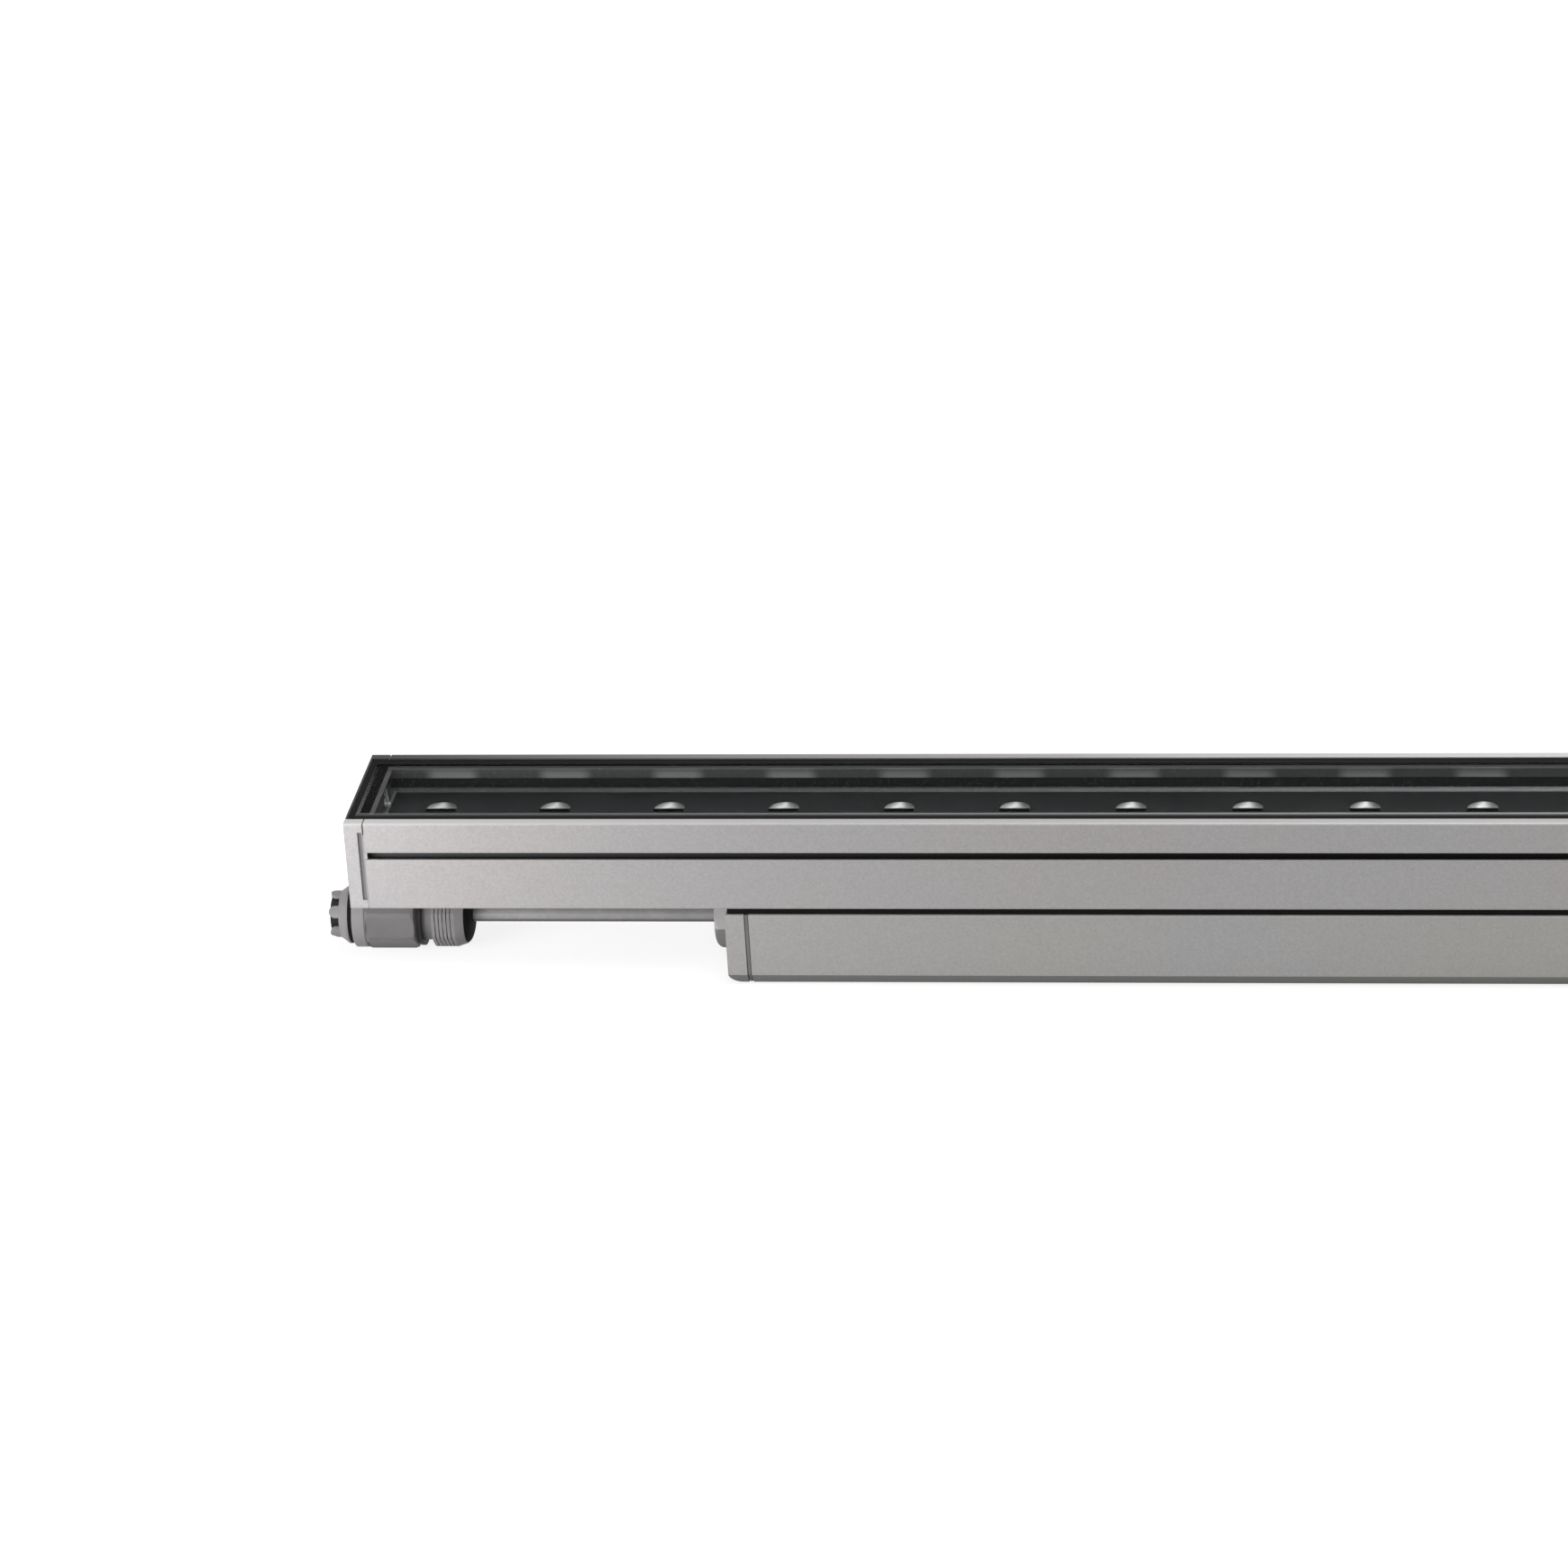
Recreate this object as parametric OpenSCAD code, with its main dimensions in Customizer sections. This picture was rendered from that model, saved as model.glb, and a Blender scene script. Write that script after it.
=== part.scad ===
// Outdoor linear wall washer: an extruded lighting head carried on a slim driver box, with the
// supply cable's coupling hanging under the head's left end.
// Millimetres. X runs along the light, Y from front to back, Z up.
// The origin is the centre of the driver box's underside.

/* [Head] */
// Length of the head over its end caps
head_l = 920; // [760:1:1400]
// Depth of the head from front to back
head_d = 72; // [68:0.5:90]
// Height of the head
head_h = 40.5; // [39:0.5:56]
// Wall of the head's extrusion
head_wall = 2.6; // [2:0.1:3.2]
// Width of the rim that stands beside the glass
rim_w = 4.8; // [4:0.1:5.4]
// Radius of the extrusion's outer edges
edge_r = 0.9; // [0.4:0.1:1.2]
// How far the glass ledge reaches in from the head's face
ledge_reach = 11.4; // [11:0.1:14]
// Thickness of the glass ledge
ledge_t = 2.4; // [1.6:0.1:2.8]
// Depth of the lens tray's face below the head's top
tray_drop = 14.75; // [14:0.25:17]
// Thickness of the web that carries the light boards
web_t = 3.6; // [2.4:0.1:4.4]

/* [Side grooves] */
// Height of the groove's mouth
groove_mouth = 3.2; // [2.4:0.1:4]
// Distance of the groove's middle below the head's top
groove_drop = 15.4; // [15:0.1:17]
// Thickness of the lips beside the mouth
groove_lip = 1.6; // [1.2:0.1:2]
// Height of the channel behind the lips
groove_channel_h = 6.4; // [5:0.1:7]
// Depth of the channel behind the lips
groove_channel_d = 2.8; // [2:0.1:3.2]
// Metal left behind the channel
groove_back = 2.2; // [2.1:0.1:2.8]

/* [Underside channel] */
// Width of the mouth of the channel under the head
channel_mouth = 6.6; // [6.4:0.1:8]
// Thickness of the lips beside that mouth
channel_lip = 2; // [1.6:0.1:2.4]
// Metal round the channel
channel_wall = 2; // [1.6:0.1:3]

/* [Glass and seal] */
// Thickness of the glass cover
glass_t = 4; // [3:0.1:5]
// Drop of the glass below the rim
glass_drop = 0.3; // [0.1:0.1:0.8]
// Width of the black seal between rim and glass
seal_w = 4.4; // [3:0.1:5]
// Width of the seal between end cap lip and glass
end_seal_w = 2; // [1.4:0.1:3]
// Thickness of the seal's bed under the glass
bed_t = 0.8; // [0.5:0.1:1.2]
// Drop of the seal's face below the glass
seal_drop = 0.6; // [0.2:0.1:1]
// Bevel round the top of the glass
glass_bevel = 0.9; // [0.4:0.1:1.4]

/* [Head end caps] */
// Thickness of an end cap
cap_t = 8.1; // [7.6:0.1:10]
// Lip of the cap that stands beside the glass
cap_lip = 0.9; // [0.6:0.1:1.4]
// Width of the shadow groove in the cap's front and back faces
cap_groove_w = 1.9; // [1.2:0.1:2.2]
// Depth of that shadow groove
cap_groove_depth = 2; // [0.6:0.1:2.1]
// Distance from the cap's outer face to the shadow groove
cap_groove_from = 5.85; // [4.4:0.05:5.9]
// Distance of the groove's ends from the top and the bottom of the cap
cap_groove_margin = 4.3; // [3:0.1:7]
// Length of the tongue that closes each side groove
tongue_l = 0.8; // [0.5:0.1:2]
// Thickness of an end gasket
end_gasket_t = 0.5; // [0.4:0.1:1]

/* [Optics] */
// Wished spacing of the light points; a whole number of them fills each board
led_pitch = 50; // [40:1:70]
// Metal left free at each end of the row of light boards
board_margin = 1.4; // [0.6:0.1:3]
// Distance of the row of light points behind the head's middle
led_y = 5.6; // [0:0.1:8]
// Radius of a reflector cup's rim
cup_r = 6.5; // [5.6:0.1:7.5]
// Radius of a cup's bright face at its foot
cup_foot_r = 3.2; // [2.8:0.1:3.6]
// Depth of a cup's bright face
cup_face_h = 1.5; // [1:0.1:2]
// Height of a cup
cup_h = 3.7; // [3.4:0.1:4.4]
// Wall round a cup's rim
cup_rim = 0.15; // [0.1:0.05:0.3]
// Thickness of the lens tray
tray_t = 1.2; // [0.8:0.1:2]
// Thickness of a light board
board_t = 1.6; // [1:0.1:2]
// Width of a light board
board_w = 24; // [18:1:30]
// Side of a light chip
chip_w = 3.5; // [2.5:0.1:3.8]
// Height of a light chip
chip_h = 0.8; // [0.5:0.1:0.9]
// Thickness of the black baffles
baffle_t = 0.8; // [0.6:0.1:1]
// Size of the baffle's slanted toe
baffle_toe = 1.6; // [1:0.1:2]
// Length of the baffle's foot
baffle_foot = 3.4; // [2:0.1:4]
// Width of the lip folded in along the top of an end baffle
baffle_lip = 2.2; // [1:0.1:2.6]
// Height of the low lip that stands in front of each window
window_lip_h = 1; // [0.6:0.1:1.4]
// Thickness of that lip
window_lip_t = 0.6; // [0.4:0.1:1]
// Distance of that lip in front of the window
window_lip_from = 2.2; // [1:0.1:3]

/* [Driver box] */
// Length of the driver box
box_l = 595; // [440:1:700]
// Height of the driver box
box_h = 34; // [32:0.5:44]
// Wall of the driver box
box_wall = 2.2; // [1.8:0.1:2.8]
// Height of the bevel along the box's foot
box_bevel_h = 5.4; // [4:0.1:6.5]
// Depth of the bevel along the box's foot
box_bevel_d = 4.5; // [3:0.1:5.5]
// Radius of the lower edge of the box's end caps
box_edge_r = 5.8; // [3.5:0.1:6.5]
// Thickness of the box's end caps
box_cap_t = 8.4; // [7:0.1:10]
// Thickness of the box's end gaskets
box_gasket_t = 1.9; // [1:0.1:2.4]
// Inset of the gaskets from the box's faces
box_gasket_inset = 0.8; // [0.4:0.1:1.2]
// Gap between the head and the box
hang_gap = 2.7; // [2:0.1:6]
// Width of the rubber strips that close this gap along front and back
gap_strip_w = 6; // [3:0.5:6.5]
// Inset of these strips from the faces of head and box
gap_strip_inset = 1.2; // [0.9:0.1:1.5]

/* [Fixings] */
// Inset of the screw ports from the head's faces
port_inset = 4.1; // [4:0.1:4.6]
// Inset of the screw ports from the box's faces
box_port_inset = 6.2; // [6:0.1:7]
// Radius of the end cap screws' shanks
screw_r = 1.55; // [1.2:0.05:1.6]
// Length of those shanks
screw_l = 24; // [20:1:36]
// Radius of the screws' heads
screw_head_r = 2.8; // [2.4:0.1:3]
// Height of the screws' heads
screw_head_h = 2; // [1.6:0.1:2.4]
// Radius of the hanger bolts
bolt_r = 3; // [2.5:0.1:3]
// Width across flats of the bolts' heads and nuts
bolt_af = 10; // [9:0.5:11]
// Height of the bolts' heads
bolt_head_h = 4; // [3:0.1:5]
// Height of the bolts' nuts
bolt_nut_h = 5; // [3.5:0.1:5.5]
// Length of a spacer pad under the head
pad_l = 24; // [18:1:40]
// Depth of a spacer pad
pad_d = 40; // [24:1:46]
// Distance of the inner pads from the light's middle
inner_pad_x = 90; // [50:1:110]
// Distance of the outer pads from the box's ends
outer_pad_in = 62.5; // [50:0.5:80]
// Distance of the base screw holes from the box's ends
base_hole_in = 47.5; // [30:0.5:60]
// Distance of the base screw holes from the box's centre plane
base_hole_y = 18; // [12:1:20]
// Radius of the base screw holes
base_hole_r = 2.1; // [1.6:0.1:2.6]

/* [Coupling] */
// How far the coupling stands out past the head's left end
coupling_out = 16; // [6:0.5:24]
// Length of the castellated crown of the locking ring
crown_l = 5; // [4:0.1:7]
// Number of lobes on the crown
crown_lobes = 6; // [4:1:8]
// Outer radius of the crown
crown_r = 10.4; // [10:0.1:11.4]
// Width of one lobe
lobe_w = 5.4; // [4:0.1:6.6]
// Length of the locking ring behind its crown
ring_l = 3.6; // [3.2:0.1:8]
// Outer radius of the locking ring
ring_r = 12.9; // [12.4:0.1:14]
// Length of the black seal ring
seal_ring_l = 1.7; // [0.8:0.1:2.4]
// Length of the coupling's body
shell_l = 29; // [22:0.1:40]
// Radius of the coupling's body
shell_r = 14.8; // [14.4:0.1:16]
// Length of the plain collar at the front of the body
shell_collar_l = 5.8; // [3:0.1:8]
// Radius of the neck behind the body
neck_r = 11.2; // [10.8:0.1:12]
// Visible length of the neck
neck_l = 4.5; // [2:0.1:8]
// Length of the cable nut's flats
cable_nut_l = 10.2; // [8:0.1:16]
// Radius of the cable nut
cable_nut_r = 14.1; // [13.6:0.1:15.4]
// Length of the cable nut's tapered end
cable_nut_taper = 3.9; // [2:0.1:6]
// Length of the black domed seal
dome_l = 2.7; // [2:0.1:8]
// Radius of the black domed seal
dome_r = 12.3; // [11.5:0.1:12.8]
// Radius of the socket that takes the supply plug
socket_r = 6.4; // [5.5:0.1:6.8]
// Depth of that socket
socket_l = 9; // [7:0.1:9.5]
// Outer radius of the black contact carrier
carrier_r = 8.2; // [7.8:0.1:8.4]
// Length of the contact carrier
carrier_l = 24; // [20:0.1:28]
// Radius of the link cable
cable_r = 3.3; // [2.6:0.1:4.2]
// Width of the clip round the neck
clip_w = 1.6; // [1.4:0.1:3]
// Outer radius of the clip
clip_r = 13.6; // [13:0.1:14.4]

/* [Box gland] */
// Height of the gland's hex foot
gland_foot_l = 3; // [2:0.1:4]
// Length of the gland's domed nut
gland_nut_l = 5.7; // [5:0.1:12]
// Radius of the gland over its corners
gland_r = 14.4; // [12:0.1:15.2]
// Radius of the gland's threaded stem
gland_stem_r = 8; // [7:0.1:9]

/* [Hidden] */

$fn = 64;
// Overrun of every cut past the faces it goes through
over = 0.5;
// Sliding clearance between pieces that drop into each other
slip = 0.1;
// Radial clearance of threads and of the locking ring's running fit
fit = 0.05;
// Gap kept between the locking ring and the fixed pieces beside it
ring_gap = 0.3;
// Wall of the spigot that the locking ring turns on
spigot_wall = 1.5;
// Height and length of the bead that keeps the locking ring on its spigot
bead_h = 0.5;
bead_l = 1.2;
// Depth of the fine lines turned into the coupling
turned_line = 0.4;
// Step between the neck and the thread behind it
thread_step = 0.5;
// Radius over the corners of an eight-sided blank, as a share of its turned radius
corner_share = 1.025;
flat_share = corner_share * cos(22.5);
// Width of the shelf that the lens tray lies on
tray_shelf = 1.5;
// How much of the shadow groove's depth its grey strip fills
cap_inlay_share = 0.6;

// Heights, from the base up
head_z = box_h + hang_gap;
top_z = head_z + head_h;
glass_top = top_z - glass_drop;
glass_bottom = glass_top - glass_t;
ledge_top = glass_bottom - bed_t;
ledge_bottom = ledge_top - ledge_t;
tray_top = top_z - tray_drop;
tray_bottom = tray_top - tray_t;
board_top = tray_top - cup_h;
web_top = board_top - board_t;
web_bottom = web_top - web_t;
groove_z = top_z - groove_drop;
line_z = box_h / 2;
cap_groove_h = head_h - cap_groove_margin * 2;

// Depths, from the middle out
half_d = head_d / 2;
rim_in = half_d - rim_w;
glass_half = rim_in - seal_w;
ledge_in = half_d - ledge_reach;
baffle_face = ledge_in - slip - baffle_t;
block_in = half_d - groove_lip - groove_channel_d - groove_back;
tray_half = block_in - slip;
port_y = half_d - port_inset;
box_port_y = half_d - box_port_inset;
box_block = box_port_inset + screw_head_r;
upper_port_z = (ledge_top + groove_z + groove_channel_h / 2) / 2;
channel_h = bolt_head_h * 1.1;
channel_w = bolt_af * 1.06;

// Lengths, from the middle out
half_l = head_l / 2;
profile_half = half_l - cap_t - end_gasket_t;
glass_end = half_l - cap_lip - end_seal_w;
baffle_end = profile_half - slip;
half_box = box_l / 2;
housing_half = half_box - box_cap_t - box_gasket_t;
outer_pad_x = half_box - outer_pad_in;
base_hole_x = half_box - base_hole_in;
pad_places = [-outer_pad_x, -inner_pad_x, inner_pad_x, outer_pad_x];

// The light points: three equal boards fill the profile, each with a whole number of points
board_l = (profile_half - board_margin) * 2 / 3;
board_points = round(board_l / led_pitch);
point_step = board_l / board_points;
led_count = board_points * 3;
led_places = [for (i = [0 : led_count - 1]) (i - (led_count - 1) / 2) * point_step];
board_screw_x = point_step * (board_points % 2 == 0 ? 1 : 1.5);
board_screw_y = led_y - board_w * 0.33;
board_screw_places = [for (i = [-1 : 1]) for (s = [-1, 1]) i * board_l + s * board_screw_x];

// The coupling's stations along its own axis, from the crown's tip
tip_x = -half_l - coupling_out;
ring_from = crown_l;
ring_to = crown_l + ring_l;
seal_from = ring_to + ring_gap;
shell_from = seal_from + seal_ring_l;
shell_to = shell_from + shell_l;
clip_to = shell_to + clip_w;
nut_from = clip_to + neck_l;
taper_from = nut_from + cable_nut_l;
dome_from = taper_from + cable_nut_taper;
dome_to = dome_from + dome_l;
carrier_from = crown_l * 0.05;
carrier_to = carrier_from + carrier_l;
spigot_r = carrier_r + spigot_wall;
bead_from = (ring_from + ring_gap + ring_to - bead_l) / 2;
stub_to = nut_from + cable_nut_l * 0.8;
stub_r = neck_r - thread_step;
nut_mouth_r = dome_r * 0.62;

// Extrudes a section drawn in Y and Z along X, from one station to another
module along_x(from, to)
    translate([from, 0, 0]) rotate([90, 0, 90]) linear_extrude(to - from) children();

// Turns a half section round the cable line; its second axis runs along X from the given station
module round_line(from)
    translate([from, 0, line_z]) rotate([0, 90, 0]) rotate_extrude() children();

// Places a cylinder or prism along the cable line
module on_line(from)
    translate([from, 0, line_z]) rotate([0, 90, 0]) children();

// Takes the square corner off a section at the origin, leaving a round of radius r
module corner_cut(r)
    difference() {
        translate([-over, -over]) square(r + over);
        translate([r, r]) circle(r);
    }

// Takes the square corner off a section at the origin, leaving a flat bevel of width w, height h
module bevel_cut(w, h)
    polygon([[-over, -over], [w + over * w / h, -over], [-over, h + over * h / w]]);

// A rectangle that stands on the section's base line, with its own radius at the foot and the head
module rounded_slab(w, h, foot_r, head_r)
    difference() {
        translate([-w / 2, 0]) square([w, h]);
        for (side = [0, 1]) mirror([side, 0]) {
            translate([-w / 2, 0]) corner_cut(foot_r);
            translate([-w / 2, h]) mirror([0, 1]) corner_cut(head_r);
        }
    }

// A T-shaped channel that opens downwards onto the section's base line
module t_channel(mouth, lip, w, h) {
    translate([-mouth / 2, -over]) square([mouth, lip + over * 2]);
    translate([-w / 2, lip]) square([w, h]);
}

// The head's outline, as its profile and end caps share it
module head_outline()
    translate([0, head_z]) rounded_slab(head_d, head_h, edge_r, edge_r);

// Both side grooves of the head
module side_grooves()
    for (side = [-1, 1])
        translate([side * half_d, groove_z]) rotate(side * 90)
            t_channel(groove_mouth, groove_lip, groove_channel_h, groove_channel_d);

// The four screw ports of the head, with the lower pair in the corner blocks
module head_port_places()
    for (side = [-1, 1])
        for (z = [head_z + port_inset, upper_port_z])
            translate([side * port_y, z]) children();

// The four screw ports of the driver box
module box_port_places()
    for (side = [-1, 1])
        for (z = [box_port_inset, box_h - box_port_inset])
            translate([side * box_port_y, z]) children();

// Hollow under the web: full width above the corner blocks, split by the underside channel below
module wiring_space() {
    block_top = head_z + port_inset * 2;
    channel_top = head_z + channel_lip + channel_h + channel_wall;
    side_in = half_d - head_wall;
    floor_z = head_z + head_wall;
    inner = channel_w / 2 + channel_wall;
    mid_z = max(block_top, channel_top);
    translate([-side_in, mid_z]) square([side_in * 2, web_bottom - mid_z]);
    for (side = [0, 1]) mirror([side, 0])
        translate([inner, floor_z])
            square([half_d - port_inset * 2 - inner, mid_z - floor_z + over]);
}

module head_section()
    difference() {
        head_outline();
        translate([-rim_in, ledge_top]) square([rim_in * 2, top_z - ledge_top + over]);
        translate([-ledge_in, ledge_bottom - over])
            square([ledge_in * 2, ledge_top - ledge_bottom + over * 2]);
        translate([-block_in, tray_bottom])
            square([block_in * 2, ledge_bottom - tray_bottom]);
        translate([-block_in + tray_shelf, web_top])
            square([(block_in - tray_shelf) * 2, tray_bottom - web_top + over]);
        wiring_space();
        side_grooves();
        translate([0, head_z]) t_channel(channel_mouth, channel_lip, channel_w, channel_h);
        head_port_places() circle(screw_r + fit);
    }

// The pipe that carries the supply from the box up into the head
nipple_x = 0;
nipple_room_in = channel_w / 2 + channel_wall;
nipple_room_out = half_d - max(port_inset * 2, box_block);
nipple_room = nipple_room_out - nipple_room_in;
nipple_y = (nipple_room_in + nipple_room_out) / 2;
nipple_r = nipple_room * 0.24;
nipple_flange_r = nipple_r * 1.6;
nipple_bore = nipple_r * 0.65;
locknut_af = nipple_r * 3;
locknut_h = bolt_nut_h * 0.6;

// The clip that hangs the coupling under the head
clip_x = tip_x + shell_to;
clip_foot_l = clip_w * 6;
clip_foot_w = neck_r * 2.4;
clip_foot_t = hang_gap * 0.75;
clip_screw_y = neck_r * 0.9;
clip_screw_r = screw_r;
clip_screw_x = clip_x + clip_w / 2;

// Where the supply wires pass the web, beside the feed terminal
wire_hole_r = cable_r * 0.6;
wire_hole_x = -profile_half + cable_r * 3;
wire_hole_y = -board_w * 0.75;

module head_profile()
    color([0.70, 0.70, 0.71]) difference() {
        along_x(-profile_half, profile_half) head_section();
        translate([nipple_x, nipple_y, head_z - over])
            cylinder(r = nipple_r + slip, h = head_wall + over * 2);
        translate([wire_hole_x, wire_hole_y, web_bottom - over])
            cylinder(r = wire_hole_r, h = web_t + over * 2);
        for (side = [-1, 1])
            translate([clip_screw_x, side * clip_screw_y, head_z - over])
                cylinder(r = clip_screw_r + fit, h = head_wall + over * 2);
        for (x = board_screw_places) translate([x, board_screw_y, web_bottom - over])
            cylinder(r = screw_r + fit, h = web_t + over * 2);
    }

// The left end cap; the right one is its mirror image
module end_cap() {
    difference() {
        along_x(-half_l, -half_l + cap_t) head_outline();
        translate([-half_l + cap_lip, -rim_in, ledge_top])
            cube([cap_t, rim_in * 2, top_z - ledge_top + over]);
        for (side = [0, 1]) mirror([0, side, 0])
            translate([-half_l + cap_groove_from, half_d - cap_groove_depth,
                head_z + cap_groove_margin])
                cube([cap_groove_w, cap_groove_depth + over, cap_groove_h]);
        along_x(-half_l - over, -half_l + cap_t + over)
            head_port_places() circle(screw_r + slip);
        along_x(-half_l - over, -half_l + screw_head_h + slip)
            head_port_places() circle(screw_head_r + slip);
    }
    for (side = [-1, 1])
        translate([-half_l + cap_t, side * (half_d - groove_lip / 2), groove_z])
            translate([(end_gasket_t + tongue_l) / 2, 0, 0])
                cube([end_gasket_t + tongue_l, groove_lip - slip * 2, groove_mouth - slip * 2],
                    center = true);
}

module end_cap_left() color([0.72, 0.72, 0.73]) end_cap();
module end_cap_right() color([0.72, 0.72, 0.73]) mirror([1, 0, 0]) end_cap();

// The grey seal strips that lie in the shadow grooves of both caps
module cap_inlays() {
    inlay_t = cap_groove_depth * cap_inlay_share;
    color([0.45, 0.44, 0.44])
        for (end = [0, 1]) mirror([end, 0, 0])
            for (side = [0, 1]) mirror([0, side, 0])
                translate([-half_l + cap_groove_from + slip, half_d - cap_groove_depth,
                    head_z + cap_groove_margin + slip])
                    cube([cap_groove_w - slip * 2, inlay_t, cap_groove_h - slip * 2]);
}

module end_gasket()
    difference() {
        along_x(-half_l + cap_t, -profile_half) difference() {
            translate([0, head_z + slip])
                rounded_slab(head_d - slip * 2, ledge_top - head_z - slip * 2, edge_r, edge_r);
            translate([-half_d + port_inset * 2, web_top])
                square([head_d - port_inset * 4, ledge_bottom - web_top]);
            translate([-half_d + port_inset * 2, head_z + port_inset * 2])
                square([head_d - port_inset * 4, web_bottom - head_z - port_inset * 2]);
            side_grooves();
            head_port_places() circle(screw_r + slip * 2);
        }
    }

module end_gasket_left() color([0.30, 0.30, 0.31]) end_gasket();
module end_gasket_right() color([0.30, 0.30, 0.31]) mirror([1, 0, 0]) end_gasket();

// A socket-headed screw along X: the head's outer face lies at the origin, the shank runs inwards
module cap_screw()
    rotate([0, 90, 0]) {
        difference() {
            cylinder(r = screw_head_r, h = screw_head_h);
            translate([0, 0, -over])
                cylinder(r = screw_r, h = screw_head_h * 0.6 + over, $fn = 6);
        }
        translate([0, 0, screw_head_h]) cylinder(r = screw_r, h = screw_l - screw_head_h);
    }

module end_cap_screws()
    color([0.55, 0.55, 0.57])
        for (end = [0, 1]) mirror([end, 0, 0])
            for (side = [-1, 1])
                for (z = [head_z + port_inset, upper_port_z])
                    translate([-half_l + slip, side * port_y, z]) cap_screw();

// The glass, with a bevel round its upper edges
module glass_cover() {
    bar = glass_bevel * sqrt(2);
    color([0.55, 0.62, 0.62, 0.35]) difference() {
        translate([-glass_end, -glass_half, glass_bottom])
            cube([glass_end * 2, glass_half * 2, glass_t]);
        for (side = [-1, 1]) {
            translate([0, side * glass_half, glass_top]) rotate([45, 0, 0])
                cube([glass_end * 2 + over * 2, bar, bar], center = true);
            translate([side * glass_end, 0, glass_top]) rotate([0, 45, 0])
                cube([bar, glass_half * 2 + over * 2, bar], center = true);
        }
    }
}

// The silicone frame: it fills the gap round the glass and carries the glass on its bed
module glass_seal()
    color([0.05, 0.05, 0.05]) difference() {
        translate([-half_l + cap_lip, -rim_in, ledge_top])
            cube([(half_l - cap_lip) * 2, rim_in * 2, glass_top - seal_drop - ledge_top]);
        translate([-glass_end, -glass_half, glass_bottom])
            cube([glass_end * 2, glass_half * 2, glass_t]);
        translate([-profile_half, -ledge_in, ledge_top - over])
            cube([profile_half * 2, ledge_in * 2, bed_t + over * 2]);
    }

// The rear baffle's section: an upright skin with a slanted toe, and a foot that lies on the tray
module baffle_section() {
    top = glass_bottom - slip;
    polygon([
        [baffle_face, top],
        [baffle_face, tray_top + baffle_toe],
        [baffle_face - baffle_toe, tray_top],
        [baffle_face + baffle_foot, tray_top],
        [baffle_face + baffle_foot, tray_top + baffle_t],
        [baffle_face + baffle_t, tray_top + baffle_t],
        [baffle_face + baffle_t, top]
    ]);
}

module rear_baffle()
    color([0.04, 0.045, 0.045]) along_x(-baffle_end, baffle_end) baffle_section();

module front_baffle()
    color([0.04, 0.045, 0.045]) mirror([0, 1, 0])
        along_x(-baffle_end, baffle_end) baffle_section();

// An end baffle stands between the long baffles, with its foot and its top lip turned inwards
module end_baffle() {
    half = baffle_face - slip;
    foot_half = half - baffle_toe;
    top = glass_bottom - slip;
    start = -baffle_end + slip;
    along_x(start, start + baffle_t) polygon([
        [-foot_half, tray_top],
        [foot_half, tray_top],
        [half, tray_top + baffle_toe],
        [half, top],
        [-half, top],
        [-half, tray_top + baffle_toe]
    ]);
    translate([start, -foot_half, tray_top]) cube([baffle_foot, foot_half * 2, baffle_t]);
    translate([start, -half, top - baffle_t]) cube([baffle_lip, half * 2, baffle_t]);
}

module end_baffle_left() color([0.3, 0.3, 0.3]) end_baffle();
module end_baffle_right() color([0.3, 0.3, 0.3]) mirror([1, 0, 0]) end_baffle();

// The tray shows the rear half of each cup through a half-round window and hides its front half;
// a low lip in front of the window keeps glare down
module lens_tray() {
    window_r = cup_r + slip;
    color([0.06, 0.075, 0.075]) {
        difference() {
            translate([-baffle_end, -tray_half, tray_bottom])
                cube([baffle_end * 2, tray_half * 2, tray_t]);
            for (x = led_places) translate([x, led_y, tray_bottom - over]) intersection() {
                cylinder(r = window_r, h = tray_t + over * 2);
                translate([-window_r, 0, 0]) cube([window_r * 2, window_r, tray_t + over * 2]);
            }
        }
        for (x = led_places)
            translate([x - cup_r, led_y - window_lip_from - window_lip_t, tray_bottom])
                cube([cup_r * 2, window_lip_t, tray_t + window_lip_h]);
    }
}

// Room under the tray, cut from the front half of a cup or lens that stands at the origin
module tray_room() {
    room_z = cup_h - tray_t - slip;
    translate([-cup_r - over, -cup_r - over, room_z])
        cube([(cup_r + over) * 2, cup_r + over + slip, tray_t + slip + over]);
}

// One reflector cup, standing on the light board with the rear half of its rim level with the tray
module reflector_cup() {
    seat_z = cup_h - cup_face_h;
    lens_seat = chip_h * 1.5;
    difference() {
        rotate_extrude() polygon([
            [chip_w * 0.76, 0],
            [cup_r, 0],
            [cup_r, cup_h],
            [cup_r - cup_rim, cup_h],
            [cup_foot_r, seat_z],
            [cup_foot_r, lens_seat],
            [chip_w * 0.76, lens_seat]
        ]);
        tray_room();
    }
}

module reflector_cups()
    color([0.85, 0.85, 0.86])
        for (x = led_places) translate([x, led_y, board_top]) reflector_cup();

// One clear lens: a short barrel with a low dome, seated on the cup's step
module lens_dome() {
    lens_seat = chip_h * 1.5;
    barrel_h = cup_h - cup_face_h - lens_seat;
    lens_r = cup_foot_r - fit;
    dome_h = lens_r * 0.4;
    ball_r = (lens_r * lens_r + dome_h * dome_h) / (dome_h * 2);
    difference() {
        union() {
            translate([0, 0, lens_seat]) cylinder(r = lens_r, h = barrel_h);
            translate([0, 0, lens_seat + barrel_h]) intersection() {
                cylinder(r = lens_r, h = dome_h);
                translate([0, 0, dome_h - ball_r]) sphere(ball_r);
            }
        }
        tray_room();
    }
}

module lens_domes()
    color([0.8, 0.85, 0.85, 0.5])
        for (x = led_places) translate([x, led_y, board_top]) lens_dome();

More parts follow.
